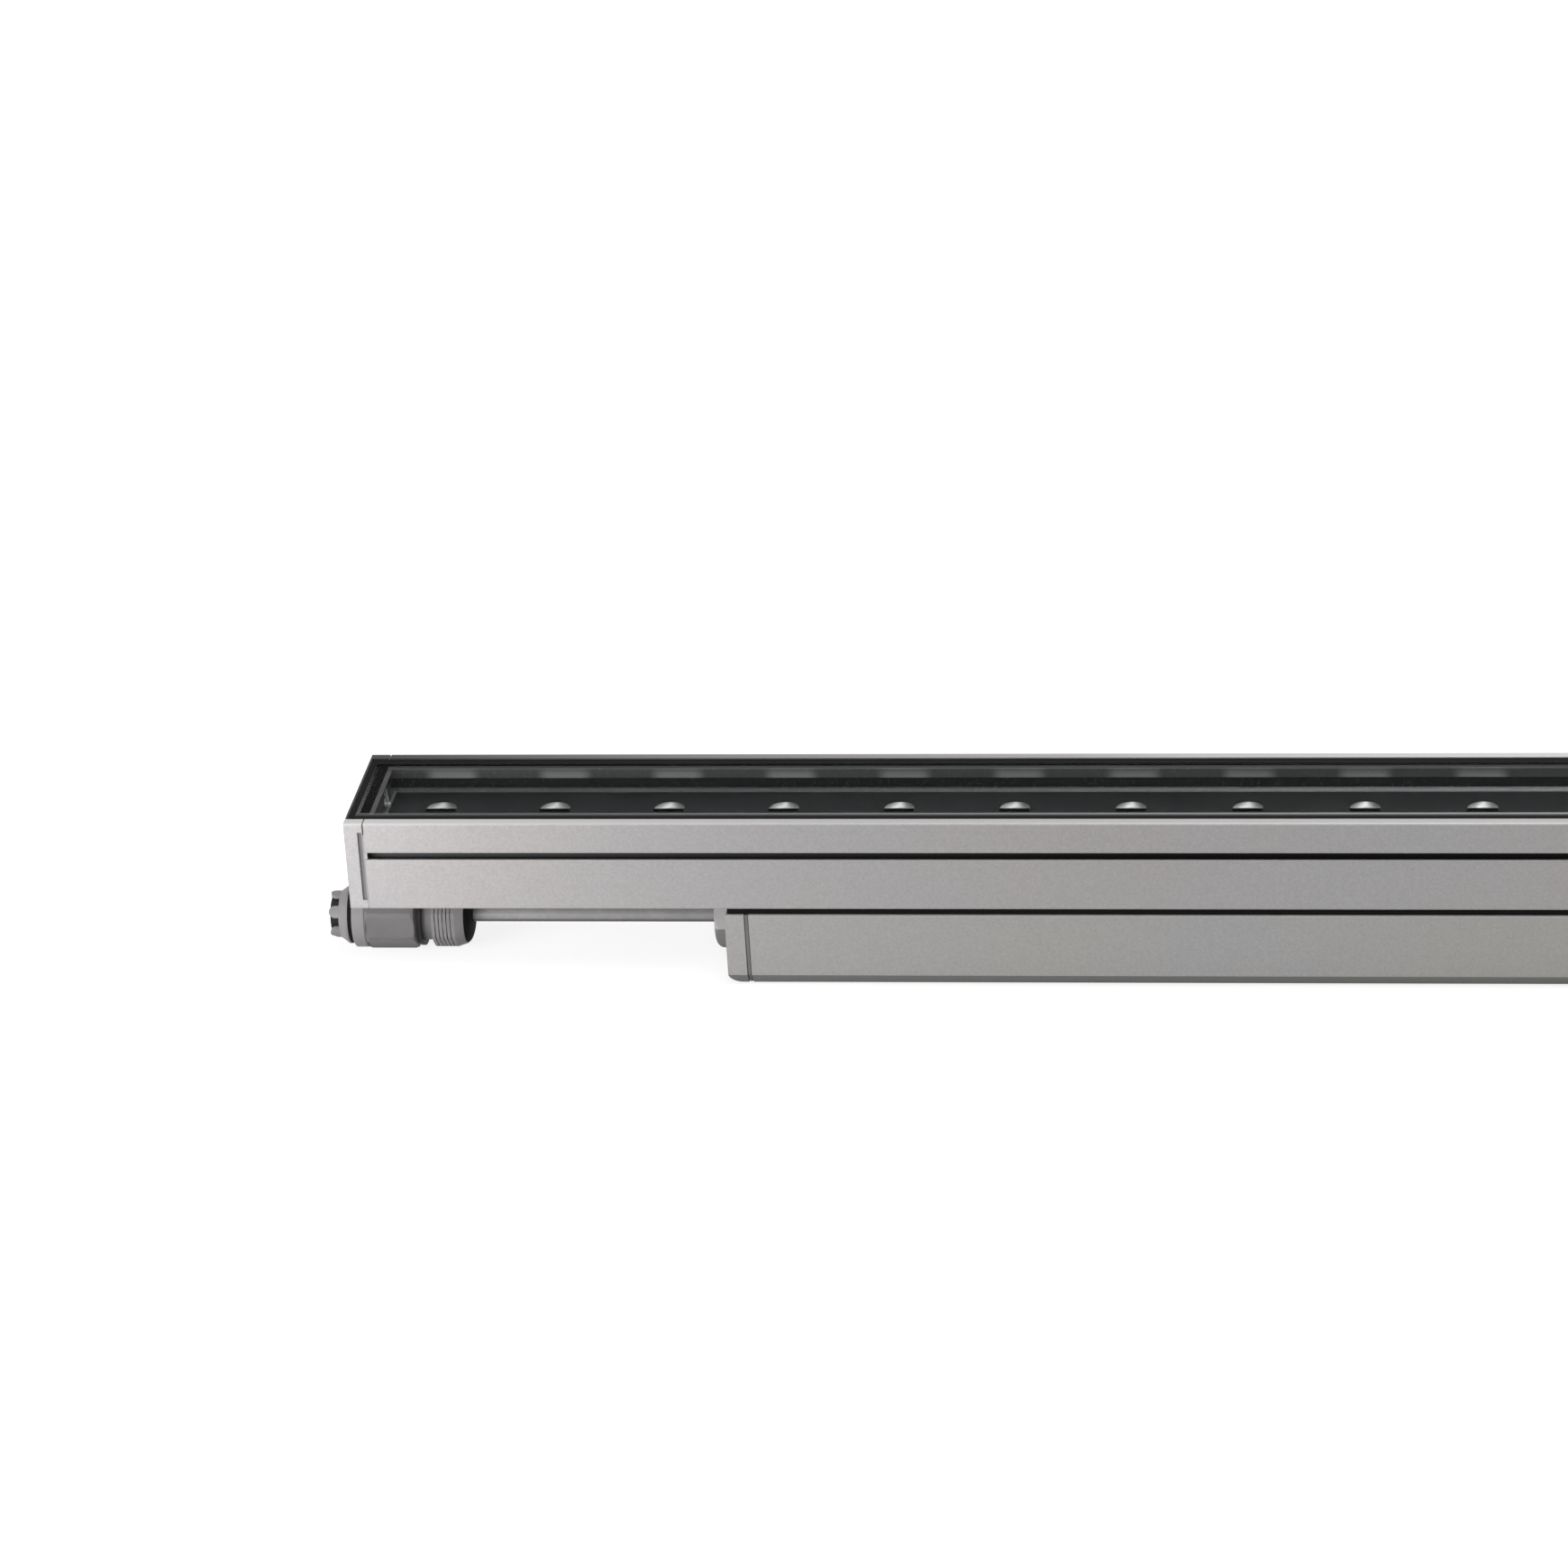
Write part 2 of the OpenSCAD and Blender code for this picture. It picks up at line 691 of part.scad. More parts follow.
module led_chips()
    color([0.95, 0.88, 0.5])
        for (x = led_places)
            translate([x - chip_w / 2, led_y - chip_w / 2, board_top])
                cube([chip_w, chip_w, chip_h]);

// The light boards: three in a row, each with a third of the light points
module led_boards()
    color([0.9, 0.9, 0.88])
        for (i = [-1 : 1]) difference() {
            translate([i * board_l - board_l / 2 + slip, led_y - board_w / 2, web_top])
                cube([board_l - slip * 2, board_w, board_t]);
            for (s = [-1, 1])
                translate([i * board_l + s * board_screw_x, board_screw_y, web_top - over])
                    cylinder(r = screw_r + slip, h = board_t + over * 2);
        }

module board_screws() {
    head_h_low = screw_head_h * 0.7;
    color([0.7, 0.7, 0.72])
        for (x = board_screw_places) translate([x, board_screw_y, 0]) {
            translate([0, 0, board_top]) cylinder(r = screw_head_r, h = head_h_low);
            translate([0, 0, web_bottom]) cylinder(r = screw_r, h = web_t + board_t);
        }
}

// The feed terminal stands on the left end baffle's foot: a low block with an upright tab
module feed_terminal() {
    block_l = baffle_foot - baffle_t - slip * 2;
    block_w = cup_foot_r * 0.8;
    block_h = chip_h * 1.5;
    tab_w = block_w / 2;
    tab_h = cup_h - chip_h;
    color([0.8, 0.8, 0.78])
        translate([-baffle_end + slip + baffle_t + slip, led_y, tray_top + baffle_t]) {
            difference() {
                cube([block_l, block_w, block_h]);
                for (s = [0.25, 0.75])
                    translate([block_l * 0.7, block_w * s, block_h / 2])
                        cylinder(r = block_w / 10, h = block_h);
            }
            translate([0, (block_w - tab_w) / 2, 0]) cube([baffle_t / 2, tab_w, tab_h]);
        }
}

// The driver box's outline, with a flat bevel along its foot; an inset keeps the wall even
module box_outline(inset) {
    bevel_l = sqrt(box_bevel_h * box_bevel_h + box_bevel_d * box_bevel_d);
    shrink = inset * (box_bevel_h + box_bevel_d - bevel_l);
    half = half_d - inset;
    room_h = box_h - inset * 2;
    translate([0, inset]) difference() {
        translate([-half, 0]) square([half * 2, room_h]);
        for (side = [0, 1]) mirror([side, 0]) {
            translate([-half, 0])
                bevel_cut(box_bevel_d - shrink / box_bevel_h, box_bevel_h - shrink / box_bevel_d);
            translate([-half, room_h]) mirror([0, 1]) corner_cut(max(edge_r - inset, slip));
        }
    }
}

module box_section()
    difference() {
        box_outline(0);
        difference() {
            box_outline(box_wall);
            for (side = [-1, 1])
                for (z = [0, box_h - box_block])
                    translate([side * (half_d - box_block / 2) - box_block / 2, z])
                        square(box_block);
        }
        box_port_places() circle(screw_r + fit);
    }

module driver_housing()
    color([0.66, 0.66, 0.66]) difference() {
        along_x(-housing_half, housing_half) box_section();
        for (x = pad_places) translate([x, 0, box_h - box_wall - over])
            cylinder(r = bolt_r + slip, h = box_wall + over * 2);
        translate([nipple_x, nipple_y, box_h - box_wall - over])
            cylinder(r = nipple_r + slip, h = box_wall + over * 2);
        for (sx = [-1, 1]) for (sy = [-1, 1])
            translate([sx * base_hole_x, sy * base_hole_y, -over])
                cylinder(r = base_hole_r, h = box_wall + over * 2);
    }

// The box's left end cap: rounded along its foot both ways, drilled for the cable gland
module box_cap(gland_hole) {
    difference() {
        intersection() {
            along_x(-half_box, -half_box + box_cap_t) box_outline(0);
            translate([-half_box, half_d + over, 0]) rotate([90, 0, 0])
                linear_extrude(head_d + over * 2) difference() {
                    square([box_cap_t, box_h]);
                    corner_cut(box_edge_r);
                    translate([0, box_h]) mirror([0, 1]) corner_cut(edge_r);
                }
        }
        along_x(-half_box - over, -half_box + box_cap_t + over)
            box_port_places() circle(screw_r + slip);
        along_x(-half_box - over, -half_box + screw_head_h + slip)
            box_port_places() circle(screw_head_r + slip);
        if (gland_hole)
            on_line(-half_box - over)
                cylinder(r = gland_stem_r + fit, h = box_cap_t + over * 2);
    }
}

module driver_cap_left() color([0.68, 0.68, 0.69]) box_cap(true);
module driver_cap_right() color([0.68, 0.68, 0.69]) mirror([1, 0, 0]) box_cap(false);

module box_gasket()
    along_x(-half_box + box_cap_t, -housing_half) difference() {
        box_outline(box_gasket_inset);
        translate([-half_d + box_block, box_block])
            square([head_d - box_block * 2, box_h - box_block * 2]);
        box_port_places() circle(screw_r + slip * 2);
    }

module driver_gasket_left() color([0.35, 0.35, 0.35]) box_gasket();
module driver_gasket_right() color([0.35, 0.35, 0.35]) mirror([1, 0, 0]) box_gasket();

module driver_cap_screws()
    color([0.55, 0.55, 0.57])
        for (end = [0, 1]) mirror([end, 0, 0])
            for (side = [-1, 1])
                for (z = [box_port_inset, box_h - box_port_inset])
                    translate([-half_box + slip, side * box_port_y, z]) cap_screw();

// Two rubber strips close the gap between head and box along its front and its back
module gap_strips() {
    strip_half = half_box - gap_strip_inset;
    color([0.05, 0.05, 0.05])
        for (side = [0, 1]) mirror([0, side, 0])
            translate([-strip_half, half_d - gap_strip_inset - gap_strip_w, box_h])
                cube([strip_half * 2, gap_strip_w, hang_gap]);
}

module spacer_pads()
    color([0.12, 0.12, 0.12])
        for (x = pad_places) difference() {
            translate([x - pad_l / 2, -pad_d / 2, box_h]) cube([pad_l, pad_d, hang_gap]);
            translate([x, 0, box_h - over]) cylinder(r = bolt_r + slip, h = hang_gap + over * 2);
        }

// Hexagon of a given width across its flats, with two flats square to Y
module hexagon(af) circle(af / sqrt(3), $fn = 6);

module hanger_bolts() {
    nut_low = box_h - box_wall - bolt_nut_h;
    head_low = head_z + channel_lip;
    color([0.6, 0.6, 0.62])
        for (x = pad_places) translate([x, 0, 0]) {
            translate([0, 0, nut_low]) cylinder(r = bolt_r, h = head_low - nut_low);
            translate([0, 0, head_low]) linear_extrude(bolt_head_h) hexagon(bolt_af);
        }
}

module hanger_nuts()
    color([0.6, 0.6, 0.62])
        for (x = pad_places)
            translate([x, 0, box_h - box_wall - bolt_nut_h]) difference() {
                linear_extrude(bolt_nut_h) hexagon(bolt_af);
                translate([0, 0, -over]) cylinder(r = bolt_r + fit, h = bolt_nut_h + over * 2);
            }

module feed_nipple() {
    low = box_h - box_wall - locknut_h;
    high = head_z + head_wall + locknut_h;
    color([0.7, 0.62, 0.35]) translate([nipple_x, nipple_y, 0]) difference() {
        union() {
            translate([0, 0, low]) cylinder(r = nipple_r, h = high - low);
            translate([0, 0, box_h]) cylinder(r = nipple_flange_r, h = hang_gap);
        }
        translate([0, 0, low - over]) cylinder(r = nipple_bore, h = high - low + over * 2);
    }
}

module feed_locknuts()
    color([0.7, 0.62, 0.35])
        for (z = [box_h - box_wall - locknut_h, head_z + head_wall])
            translate([nipple_x, nipple_y, z]) difference() {
                linear_extrude(locknut_h) hexagon(locknut_af);
                translate([0, 0, -over]) cylinder(r = nipple_r + fit, h = locknut_h + over * 2);
            }

// The driver's tray, the driver itself and the supply terminals, inside the box
driver_tray_t = box_wall * 0.55;
driver_tray_w = (half_d - box_block) * 2 - slip * 2;
driver_l = outer_pad_x * 1.5;
driver_w = driver_tray_w * 0.8;
driver_h = box_h - box_wall * 2 - bolt_nut_h - driver_tray_t - slip * 10;

module driver_tray()
    color([0.75, 0.76, 0.77]) difference() {
        translate([-housing_half + box_block, -driver_tray_w / 2, box_wall])
            cube([(housing_half - box_block) * 2, driver_tray_w, driver_tray_t]);
        for (sx = [-1, 1]) for (sy = [-1, 1])
            translate([sx * base_hole_x, sy * base_hole_y, box_wall - over])
                cylinder(r = base_hole_r + slip, h = driver_tray_t + over * 2);
    }

module driver_module()
    color([0.85, 0.86, 0.86])
        along_x(-driver_l / 2, driver_l / 2)
            translate([0, box_wall + driver_tray_t])
                rounded_slab(driver_w, driver_h, edge_r, box_edge_r / 2);

module terminal_block() {
    pole_w = driver_w / 4;
    pole_l = pole_w * 2.4;
    pole_h = driver_h * 0.7;
    start = -driver_l / 2 - pole_l * 1.5;
    color([0.25, 0.25, 0.26])
        translate([start, -pole_w * 1.5, box_wall + driver_tray_t]) difference() {
            cube([pole_l, pole_w * 3, pole_h]);
            for (i = [0 : 2]) for (s = [0.25, 0.75])
                translate([pole_l * s, pole_w * (i + 0.5), pole_h * 0.4])
                    cylinder(r = pole_w * 0.2, h = pole_h);
        }
}

// The gland where the link cable enters the box: body, domed nut and seal
gland_nut_bore = gland_stem_r * 1.25;

module gland_body() {
    foot_x = -half_box - gland_foot_l;
    nut_hold = gland_nut_l * 0.6;
    color([0.6, 0.6, 0.6]) difference() {
        union() {
            on_line(foot_x) rotate(30) cylinder(r = gland_r, h = gland_foot_l, $fn = 6);
            on_line(foot_x - nut_hold)
                cylinder(r = gland_nut_bore, h = nut_hold + gland_foot_l);
            on_line(foot_x)
                cylinder(r = gland_stem_r, h = gland_foot_l + box_cap_t + box_gasket_t);
        }
        on_line(foot_x - nut_hold - over)
            cylinder(r = cable_r + fit * 2, h = nut_hold + gland_foot_l + box_cap_t + box_gasket_t
                + over * 2);
    }
}

// Hexagonal nut with a domed face; the dome comes from a turned blank
module gland_nut() {
    dome = gland_nut_l * 0.6;
    nut_hold = gland_nut_l * 0.6;
    seal_hole = cable_r * 1.7;
    start = -half_box - gland_foot_l - gland_nut_l;
    color([0.62, 0.62, 0.62]) difference() {
        intersection() {
            on_line(start) rotate(30) cylinder(r = gland_r, h = gland_nut_l, $fn = 6);
            round_line(start) difference() {
                square([gland_r, gland_nut_l]);
                translate([gland_r, 0]) mirror([1, 0]) corner_cut(dome);
            }
        }
        on_line(-half_box - gland_foot_l - nut_hold)
            cylinder(r = gland_nut_bore + fit, h = nut_hold + over);
        on_line(start - over) cylinder(r = seal_hole, h = gland_nut_l + over * 2);
    }
}

module gland_seal() {
    start = -half_box - gland_foot_l - gland_nut_l;
    seal_l = gland_nut_l * 0.4 - fit;
    color([0.06, 0.06, 0.06]) difference() {
        on_line(start) cylinder(r = cable_r * 1.7 - fit, h = seal_l);
        on_line(start - over) cylinder(r = cable_r + fit, h = seal_l + over * 2);
    }
}

// The link cable runs straight from inside the coupling to inside the box
module link_cable() {
    from = tip_x + shell_from + carrier_l;
    to = -half_box + box_cap_t + box_gasket_t + box_cap_t;
    color([0.55, 0.55, 0.55]) on_line(from) cylinder(r = cable_r, h = to - from);
}

// The coupling's body: a turned blank with flats, a spigot in front and a threaded stub behind
module coupling_shell() {
    collar_end = shell_from + shell_collar_l;
    collar_r = shell_r - turned_line;
    flats_from = collar_end + turned_line;
    chamfer = (shell_r - neck_r) * 0.75;
    spigot_from = ring_from + ring_gap;
    color([0.53, 0.52, 0.51]) intersection() {
        round_line(tip_x) polygon([
            [carrier_r + fit, spigot_from],
            [spigot_r, spigot_from],
            [spigot_r, bead_from],
            [spigot_r + bead_h, bead_from],
            [spigot_r + bead_h, bead_from + bead_l],
            [spigot_r, bead_from + bead_l],
            [spigot_r, shell_from],
            [collar_r - turned_line, shell_from],
            [collar_r, shell_from + turned_line],
            [collar_r, collar_end - turned_line],
            [collar_r - turned_line, collar_end],
            [collar_r, flats_from],
            [shell_r, flats_from + turned_line * 2],
            [shell_r, shell_to - chamfer],
            [collar_r, shell_to - chamfer * 0.6],
            [neck_r, shell_to],
            [neck_r, nut_from],
            [stub_r, nut_from],
            [stub_r, stub_to],
            [cable_r + slip, stub_to],
            [cable_r + slip, carrier_to + fit],
            [carrier_r + fit, carrier_to + fit]
        ]);
        union() {
            on_line(tip_x) cylinder(r = shell_r + over, h = flats_from);
            on_line(tip_x + flats_from) rotate(22.5)
                cylinder(r = shell_r * corner_share, h = stub_to - flats_from, $fn = 8);
        }
    }
}

// The locking ring turns on the body's spigot; its crown is cut from a tube into rounded lobes
module locking_ring() {
    crown_bore = carrier_r + ring_gap * 2;
    ring_bore = spigot_r + fit;
    web_from = crown_l * 0.85;
    cone_to = ring_to - ring_l / 4;
    bead_room_r = spigot_r + bead_h + ring_gap;
    color([0.6, 0.59, 0.58]) {
        round_line(tip_x) polygon([
            [crown_bore, web_from],
            [crown_r, web_from],
            [ring_r, cone_to],
            [ring_r, ring_to],
            [ring_bore, ring_to],
            [ring_bore, bead_from + bead_l + ring_gap],
            [bead_room_r, bead_from + bead_l + ring_gap],
            [bead_room_r, bead_from - ring_gap],
            [ring_bore, bead_from - ring_gap],
            [ring_bore, ring_from],
            [crown_bore, ring_from]
        ]);
        for (i = [0 : crown_lobes - 1])
            intersection() {
                difference() {
                    on_line(tip_x) cylinder(r = crown_r, h = crown_l);
                    on_line(tip_x - over) cylinder(r = crown_bore, h = crown_l + over * 2);
                }
                translate([tip_x, 0, line_z]) rotate([i * 360 / crown_lobes, 0, 0]) union() {
                    translate([lobe_w / 2, 0, 0]) cylinder(r = lobe_w / 2, h = crown_r + over);
                    translate([lobe_w / 2, -lobe_w / 2, 0])
                        cube([crown_l - ring_gap - lobe_w / 2, lobe_w, crown_r + over]);
                }
            }
    }
}

module coupling_seal_ring()
    color([0.05, 0.05, 0.05]) round_line(tip_x)
        polygon([
            [spigot_r + fit, seal_from],
            [ring_r - ring_gap, seal_from],
            [ring_r, shell_from - seal_ring_l / 2],
            [ring_r, shell_from],
            [spigot_r + fit, shell_from]
        ]);

// The contact carrier: a black tube whose mouth takes the plug, with a floor drilled for contacts
contact_count = 5;
contact_r = socket_r * 0.13;
contact_ring_r = socket_r * 0.55;
contact_l = (carrier_l - socket_l) * 0.6;

module contact_places()
    for (i = [0 : contact_count - 1]) rotate(i * 360 / contact_count)
        translate([contact_ring_r, 0, 0]) children();

module contact_carrier()
    color([0.05, 0.05, 0.05]) difference() {
        on_line(tip_x + carrier_from) cylinder(r = carrier_r, h = carrier_l);
        on_line(tip_x + carrier_from - over) cylinder(r = socket_r, h = socket_l + over);
        on_line(tip_x + carrier_from + socket_l - over) contact_places()
            cylinder(r = contact_r + fit, h = contact_l + over);
    }

module contacts()
    color([0.8, 0.65, 0.3]) on_line(tip_x + carrier_from + socket_l) contact_places()
        cylinder(r = contact_r, h = contact_l);

// The clip: a ring round the coupling's neck, a short web, and a foot screwed under the head
module coupling_clip() {
    ring_bore = neck_r + fit;
    foot_z = head_z - clip_foot_t;
    web_w = neck_r * 0.8;
    color([0.06, 0.06, 0.06]) difference() {
        union() {
            on_line(clip_x) cylinder(r = clip_r, h = clip_w);
            translate([clip_x, -web_w / 2, line_z + ring_bore])
                cube([clip_w, web_w, foot_z - line_z - ring_bore]);
            translate([clip_screw_x - clip_foot_l / 2, -clip_foot_w / 2, foot_z])
                cube([clip_foot_l, clip_foot_w, clip_foot_t]);
        }
        on_line(clip_x - over) cylinder(r = ring_bore, h = clip_w + over * 2);
        for (side = [-1, 1])
            translate([clip_screw_x, side * clip_screw_y, foot_z - over])
                cylinder(r = clip_screw_r + slip, h = clip_foot_t + over * 2);
    }
}

module clip_screws() {
    head_t = clip_foot_t * 0.5;
    color([0.6, 0.6, 0.62])
        for (side = [-1, 1])
            translate([clip_screw_x, side * clip_screw_y, head_z - clip_foot_t - head_t]) {
                cylinder(r = screw_head_r, h = head_t);
                translate([0, 0, head_t]) cylinder(r = clip_screw_r, h = clip_foot_t + head_wall);
            }
}

// The cable nut: eight flats with fine rings turned into them, then a short taper
module cable_nut() {
    bore = stub_r + fit;
    ring_count = 5;
    ring_floor_r = cable_nut_r * flat_share - turned_line;
    ring_pitch = cable_nut_l / (ring_count + 1);
    ring_w = ring_pitch * 0.22;
    color([0.55, 0.54, 0.53]) difference() {
        intersection() {
            round_line(tip_x) polygon([
                [bore, nut_from],
                [cable_nut_r - turned_line, nut_from],
                [cable_nut_r, nut_from + turned_line],
                [cable_nut_r, taper_from],
                [dome_r + turned_line, dome_from],
                [nut_mouth_r, dome_from],
                [nut_mouth_r, stub_to],
                [bore, stub_to]
            ]);
            union() {
                on_line(tip_x + nut_from) rotate(22.5)
                    cylinder(r = cable_nut_r * corner_share, h = cable_nut_l, $fn = 8);
                on_line(tip_x + taper_from) cylinder(r = cable_nut_r, h = cable_nut_taper);
            }
        }
        for (i = [1 : ring_count])
            round_line(tip_x + nut_from + i * ring_pitch - ring_w / 2)
                translate([ring_floor_r, 0]) square([cable_nut_r, ring_w]);
    }
}

// The black domed seal closes the nut round the cable
module dome_seal() {
    plug_l = cable_nut_taper;
    tail_r = cable_r * 1.25;
    steps = 8;
    arc = [for (i = [0 : steps])
        let (a = i * 90 / steps)
        [tail_r + (dome_r - tail_r) * cos(a), dome_from + dome_l * sin(a)]];
    color([0.04, 0.04, 0.04]) round_line(tip_x) polygon(concat(
        [[cable_r + fit, dome_from - plug_l], [nut_mouth_r - fit, dome_from - plug_l],
        [nut_mouth_r - fit, dome_from]],
        arc, [[cable_r + fit, dome_to]]));
}

head_profile();
end_cap_left();
end_cap_right();
end_gasket_left();
end_gasket_right();
end_cap_screws();
cap_inlays();
glass_cover();
glass_seal();
rear_baffle();
front_baffle();
end_baffle_left();
end_baffle_right();
lens_tray();
reflector_cups();
lens_domes();
led_chips();
led_boards();
board_screws();
feed_terminal();
driver_housing();
driver_cap_left();
driver_cap_right();
driver_gasket_left();
driver_gasket_right();
driver_cap_screws();
gap_strips();
spacer_pads();
hanger_bolts();
hanger_nuts();
feed_nipple();
feed_locknuts();
driver_tray();
driver_module();
terminal_block();
gland_body();
gland_nut();
gland_seal();
link_cable();
coupling_shell();
locking_ring();
coupling_seal_ring();
contact_carrier();
contacts();
coupling_clip();
clip_screws();
cable_nut();
dome_seal();
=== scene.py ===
import bpy
import math
from mathutils import Matrix, Vector


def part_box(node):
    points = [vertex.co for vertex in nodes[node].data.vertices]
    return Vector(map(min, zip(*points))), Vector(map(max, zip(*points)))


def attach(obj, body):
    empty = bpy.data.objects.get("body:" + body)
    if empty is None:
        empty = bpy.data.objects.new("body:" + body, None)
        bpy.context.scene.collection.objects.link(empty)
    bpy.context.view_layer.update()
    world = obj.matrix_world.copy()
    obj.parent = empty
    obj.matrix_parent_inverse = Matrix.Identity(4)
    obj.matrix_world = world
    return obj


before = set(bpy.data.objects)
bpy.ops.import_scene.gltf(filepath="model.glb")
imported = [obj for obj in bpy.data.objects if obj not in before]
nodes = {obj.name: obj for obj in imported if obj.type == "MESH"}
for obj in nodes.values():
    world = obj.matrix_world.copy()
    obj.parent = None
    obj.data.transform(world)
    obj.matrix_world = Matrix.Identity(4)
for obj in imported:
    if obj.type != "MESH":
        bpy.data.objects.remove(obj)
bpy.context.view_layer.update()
mainBody = "light"


# small builders and values that every finish below shares
# detail and roughness of each kind of noise
weave = {"grain": (2.0, 0.7), "drift": (2.0, 0.5), "skin": (3.0, 0.6), "line": (3.0, 0.65),
         "cloud": (4.0, 0.6)}
# where the noise turns from low to high
ramp = {"soft": (0.38, 0.62), "sharp": (0.32, 0.68), "dust": (0.55, 0.75)}
reliefDepth = {"metal": 0.00006, "moulded": 0.00008, "turned": 0.00004, "gloss": 0.00005}
roughSway = 0.06  # how far the roughness drifts to either side
edgeSamples = 4


def blankMaterial(name):
    mat = bpy.data.materials.new(name)
    mat.use_nodes = True
    tree = mat.node_tree
    tree.nodes.clear()
    out = tree.nodes.new("ShaderNodeOutputMaterial")
    bsdf = tree.nodes.new("ShaderNodeBsdfPrincipled")
    tree.links.new(bsdf.outputs["BSDF"], out.inputs["Surface"])
    return mat, tree, bsdf, out


def plug(tree, value, socket):
    if hasattr(value, "is_output"):
        tree.links.new(value, socket)
    elif isinstance(value, (int, float)):
        socket.default_value = value
    else:
        socket.default_value = (*value, 1) if len(value) == 3 else value


def objectSpace(tree, stretch=(1, 1, 1)):
    coord = tree.nodes.new("ShaderNodeTexCoord")
    mapping = tree.nodes.new("ShaderNodeMapping")
    mapping.inputs["Scale"].default_value = stretch
    tree.links.new(coord.outputs["Object"], mapping.inputs["Vector"])
    return mapping.outputs["Vector"]


def axes(tree, vector):
    node = tree.nodes.new("ShaderNodeSeparateXYZ")
    tree.links.new(vector, node.inputs["Vector"])
    return node.outputs["X"], node.outputs["Y"], node.outputs["Z"]


def sums(tree, operation, a, b=0.0):
    node = tree.nodes.new("ShaderNodeMath")
    node.operation = operation
    plug(tree, a, node.inputs[0])
    plug(tree, b, node.inputs[1])
    return node.outputs["Value"]


def noise(tree, vector, scale, detail=3.0, rough=0.55):
    node = tree.nodes.new("ShaderNodeTexNoise")
    node.inputs["Scale"].default_value = scale
    node.inputs["Detail"].default_value = detail
    node.inputs["Roughness"].default_value = rough
    tree.links.new(vector, node.inputs["Vector"])
    return node.outputs["Fac"]


def remap(tree, value, low, high, fromLow=0.3, fromHigh=0.7, ease="LINEAR"):
    node = tree.nodes.new("ShaderNodeMapRange")
    node.interpolation_type = ease
    node.inputs["From Min"].default_value = fromLow
    node.inputs["From Max"].default_value = fromHigh
    node.inputs["To Min"].default_value = low
    node.inputs["To Max"].default_value = high
    tree.links.new(value, node.inputs["Value"])
    return node.outputs["Result"]


def mixColor(tree, factor, a, b, mode="MIX"):
    node = tree.nodes.new("ShaderNodeMix")
    node.data_type = "RGBA"
    node.blend_type = mode
    plug(tree, factor, node.inputs[0])
    plug(tree, a, node.inputs[6])
    plug(tree, b, node.inputs[7])
    return node.outputs[2]


def mixShader(tree, factor, a, b):
    node = tree.nodes.new("ShaderNodeMixShader")
    plug(tree, factor, node.inputs["Fac"])
    tree.links.new(a, node.inputs[1])
    tree.links.new(b, node.inputs[2])
    return node.outputs["Shader"]


def bump(tree, height, strength, distance, normal=None):
    node = tree.nodes.new("ShaderNodeBump")
    node.inputs["Strength"].default_value = strength
    node.inputs["Distance"].default_value = distance
    tree.links.new(height, node.inputs["Height"])
    if normal:
        tree.links.new(normal, node.inputs["Normal"])
    return node.outputs["Normal"]


def softEdge(tree, radius):
    node = tree.nodes.new("ShaderNodeBevel")
    node.samples = edgeSamples
    node.inputs["Radius"].default_value = radius
    return node.outputs["Normal"]


def darker(tone, share):
    return [c * (1 - share) for c in tone]


def lighter(tone, share):
    return [min(1, c * (1 + share)) for c in tone]


def without(look, *keys):
    return {key: value for key, value in look.items() if key not in keys}


def dress(mat, *names):
    for name in names:
        obj = nodes[name]
        obj.data.materials.clear()
        obj.data.materials.append(mat)


# blasted and anodised aluminium: fine sparkle, soft mottling, faint drawn streaks
def anodised(name, look):
    mat, tree, bsdf, out = blankMaterial(name)
    space = objectSpace(tree)
    grain = noise(tree, space, look["grainScale"], *weave["grain"])
    mottle = noise(tree, space, look["mottleScale"], *weave["skin"])
    cloud = noise(tree, space, look["cloudScale"], *weave["cloud"])
    drawn = objectSpace(tree, look["streakStretch"])
    streak = noise(tree, drawn, look["streakScale"], *weave["skin"])
    color = mixColor(tree, remap(tree, grain, 0, 1, *ramp["sharp"]),
                     darker(look["tone"], look["contrast"]), lighter(look["tone"], look["contrast"]))
    color = mixColor(tree, remap(tree, mottle, 0, look["mottle"]), color, look["shade"])
    color = mixColor(tree, remap(tree, cloud, 0, look["cloud"]), color, look["shade"])
    color = mixColor(tree, remap(tree, streak, 0, look["streak"]), color, look["shade"])
    drift = noise(tree, space, look["driftScale"], *weave["drift"])
    hue = mixColor(tree, remap(tree, drift, 0, 1, *ramp["soft"]), look["cool"], look["warm"])
    color = mixColor(tree, 1, color, hue, "MULTIPLY")
    rough = remap(tree, grain, look["rough"] - look["roughSway"], look["rough"] + look["roughSway"])
    # painted shade: the lowest band of the part, its foot bevel, is painted darker
    if "footShade" in look:
        low = sums(tree, "LESS_THAN", axes(tree, space)[2], look["footHeight"])
        color = mixColor(tree, low, color, look["footShade"])
    # painted light and shade on the rim tops: lighter and darker rim tones that fade along the
    # length
    for rim in look.get("rimLightShade", []):
        color = mixColor(tree, rimLightShadeMask(tree, space, rim), color, rim["tone"])
    # painted shade inside the side grooves, painted lighter towards the left end for the light that
    # falls there
    if "groove" in look:
        groove = look["groove"]
        inside = grooveMask(tree, space, groove)
        leftward = remap(tree, axes(tree, space)[0], 1, 0, groove["left"], groove["right"])
        slotShade = mixColor(tree, leftward, groove["tone"], groove["leftTone"])
        color = mixColor(tree, inside, color, slotShade)
        rough = sums(tree, "MAXIMUM", rough, inside)
    tree.links.new(color, bsdf.inputs["Base Color"])
    tree.links.new(rough, bsdf.inputs["Roughness"])
    bsdf.inputs["Metallic"].default_value = look["metal"]
    bsdf.inputs["Specular IOR Level"].default_value = look["shine"]
    edge = softEdge(tree, look["edge"])
    tree.links.new(bump(tree, grain, look["relief"], reliefDepth["metal"], edge),
                   bsdf.inputs["Normal"])
    return mat
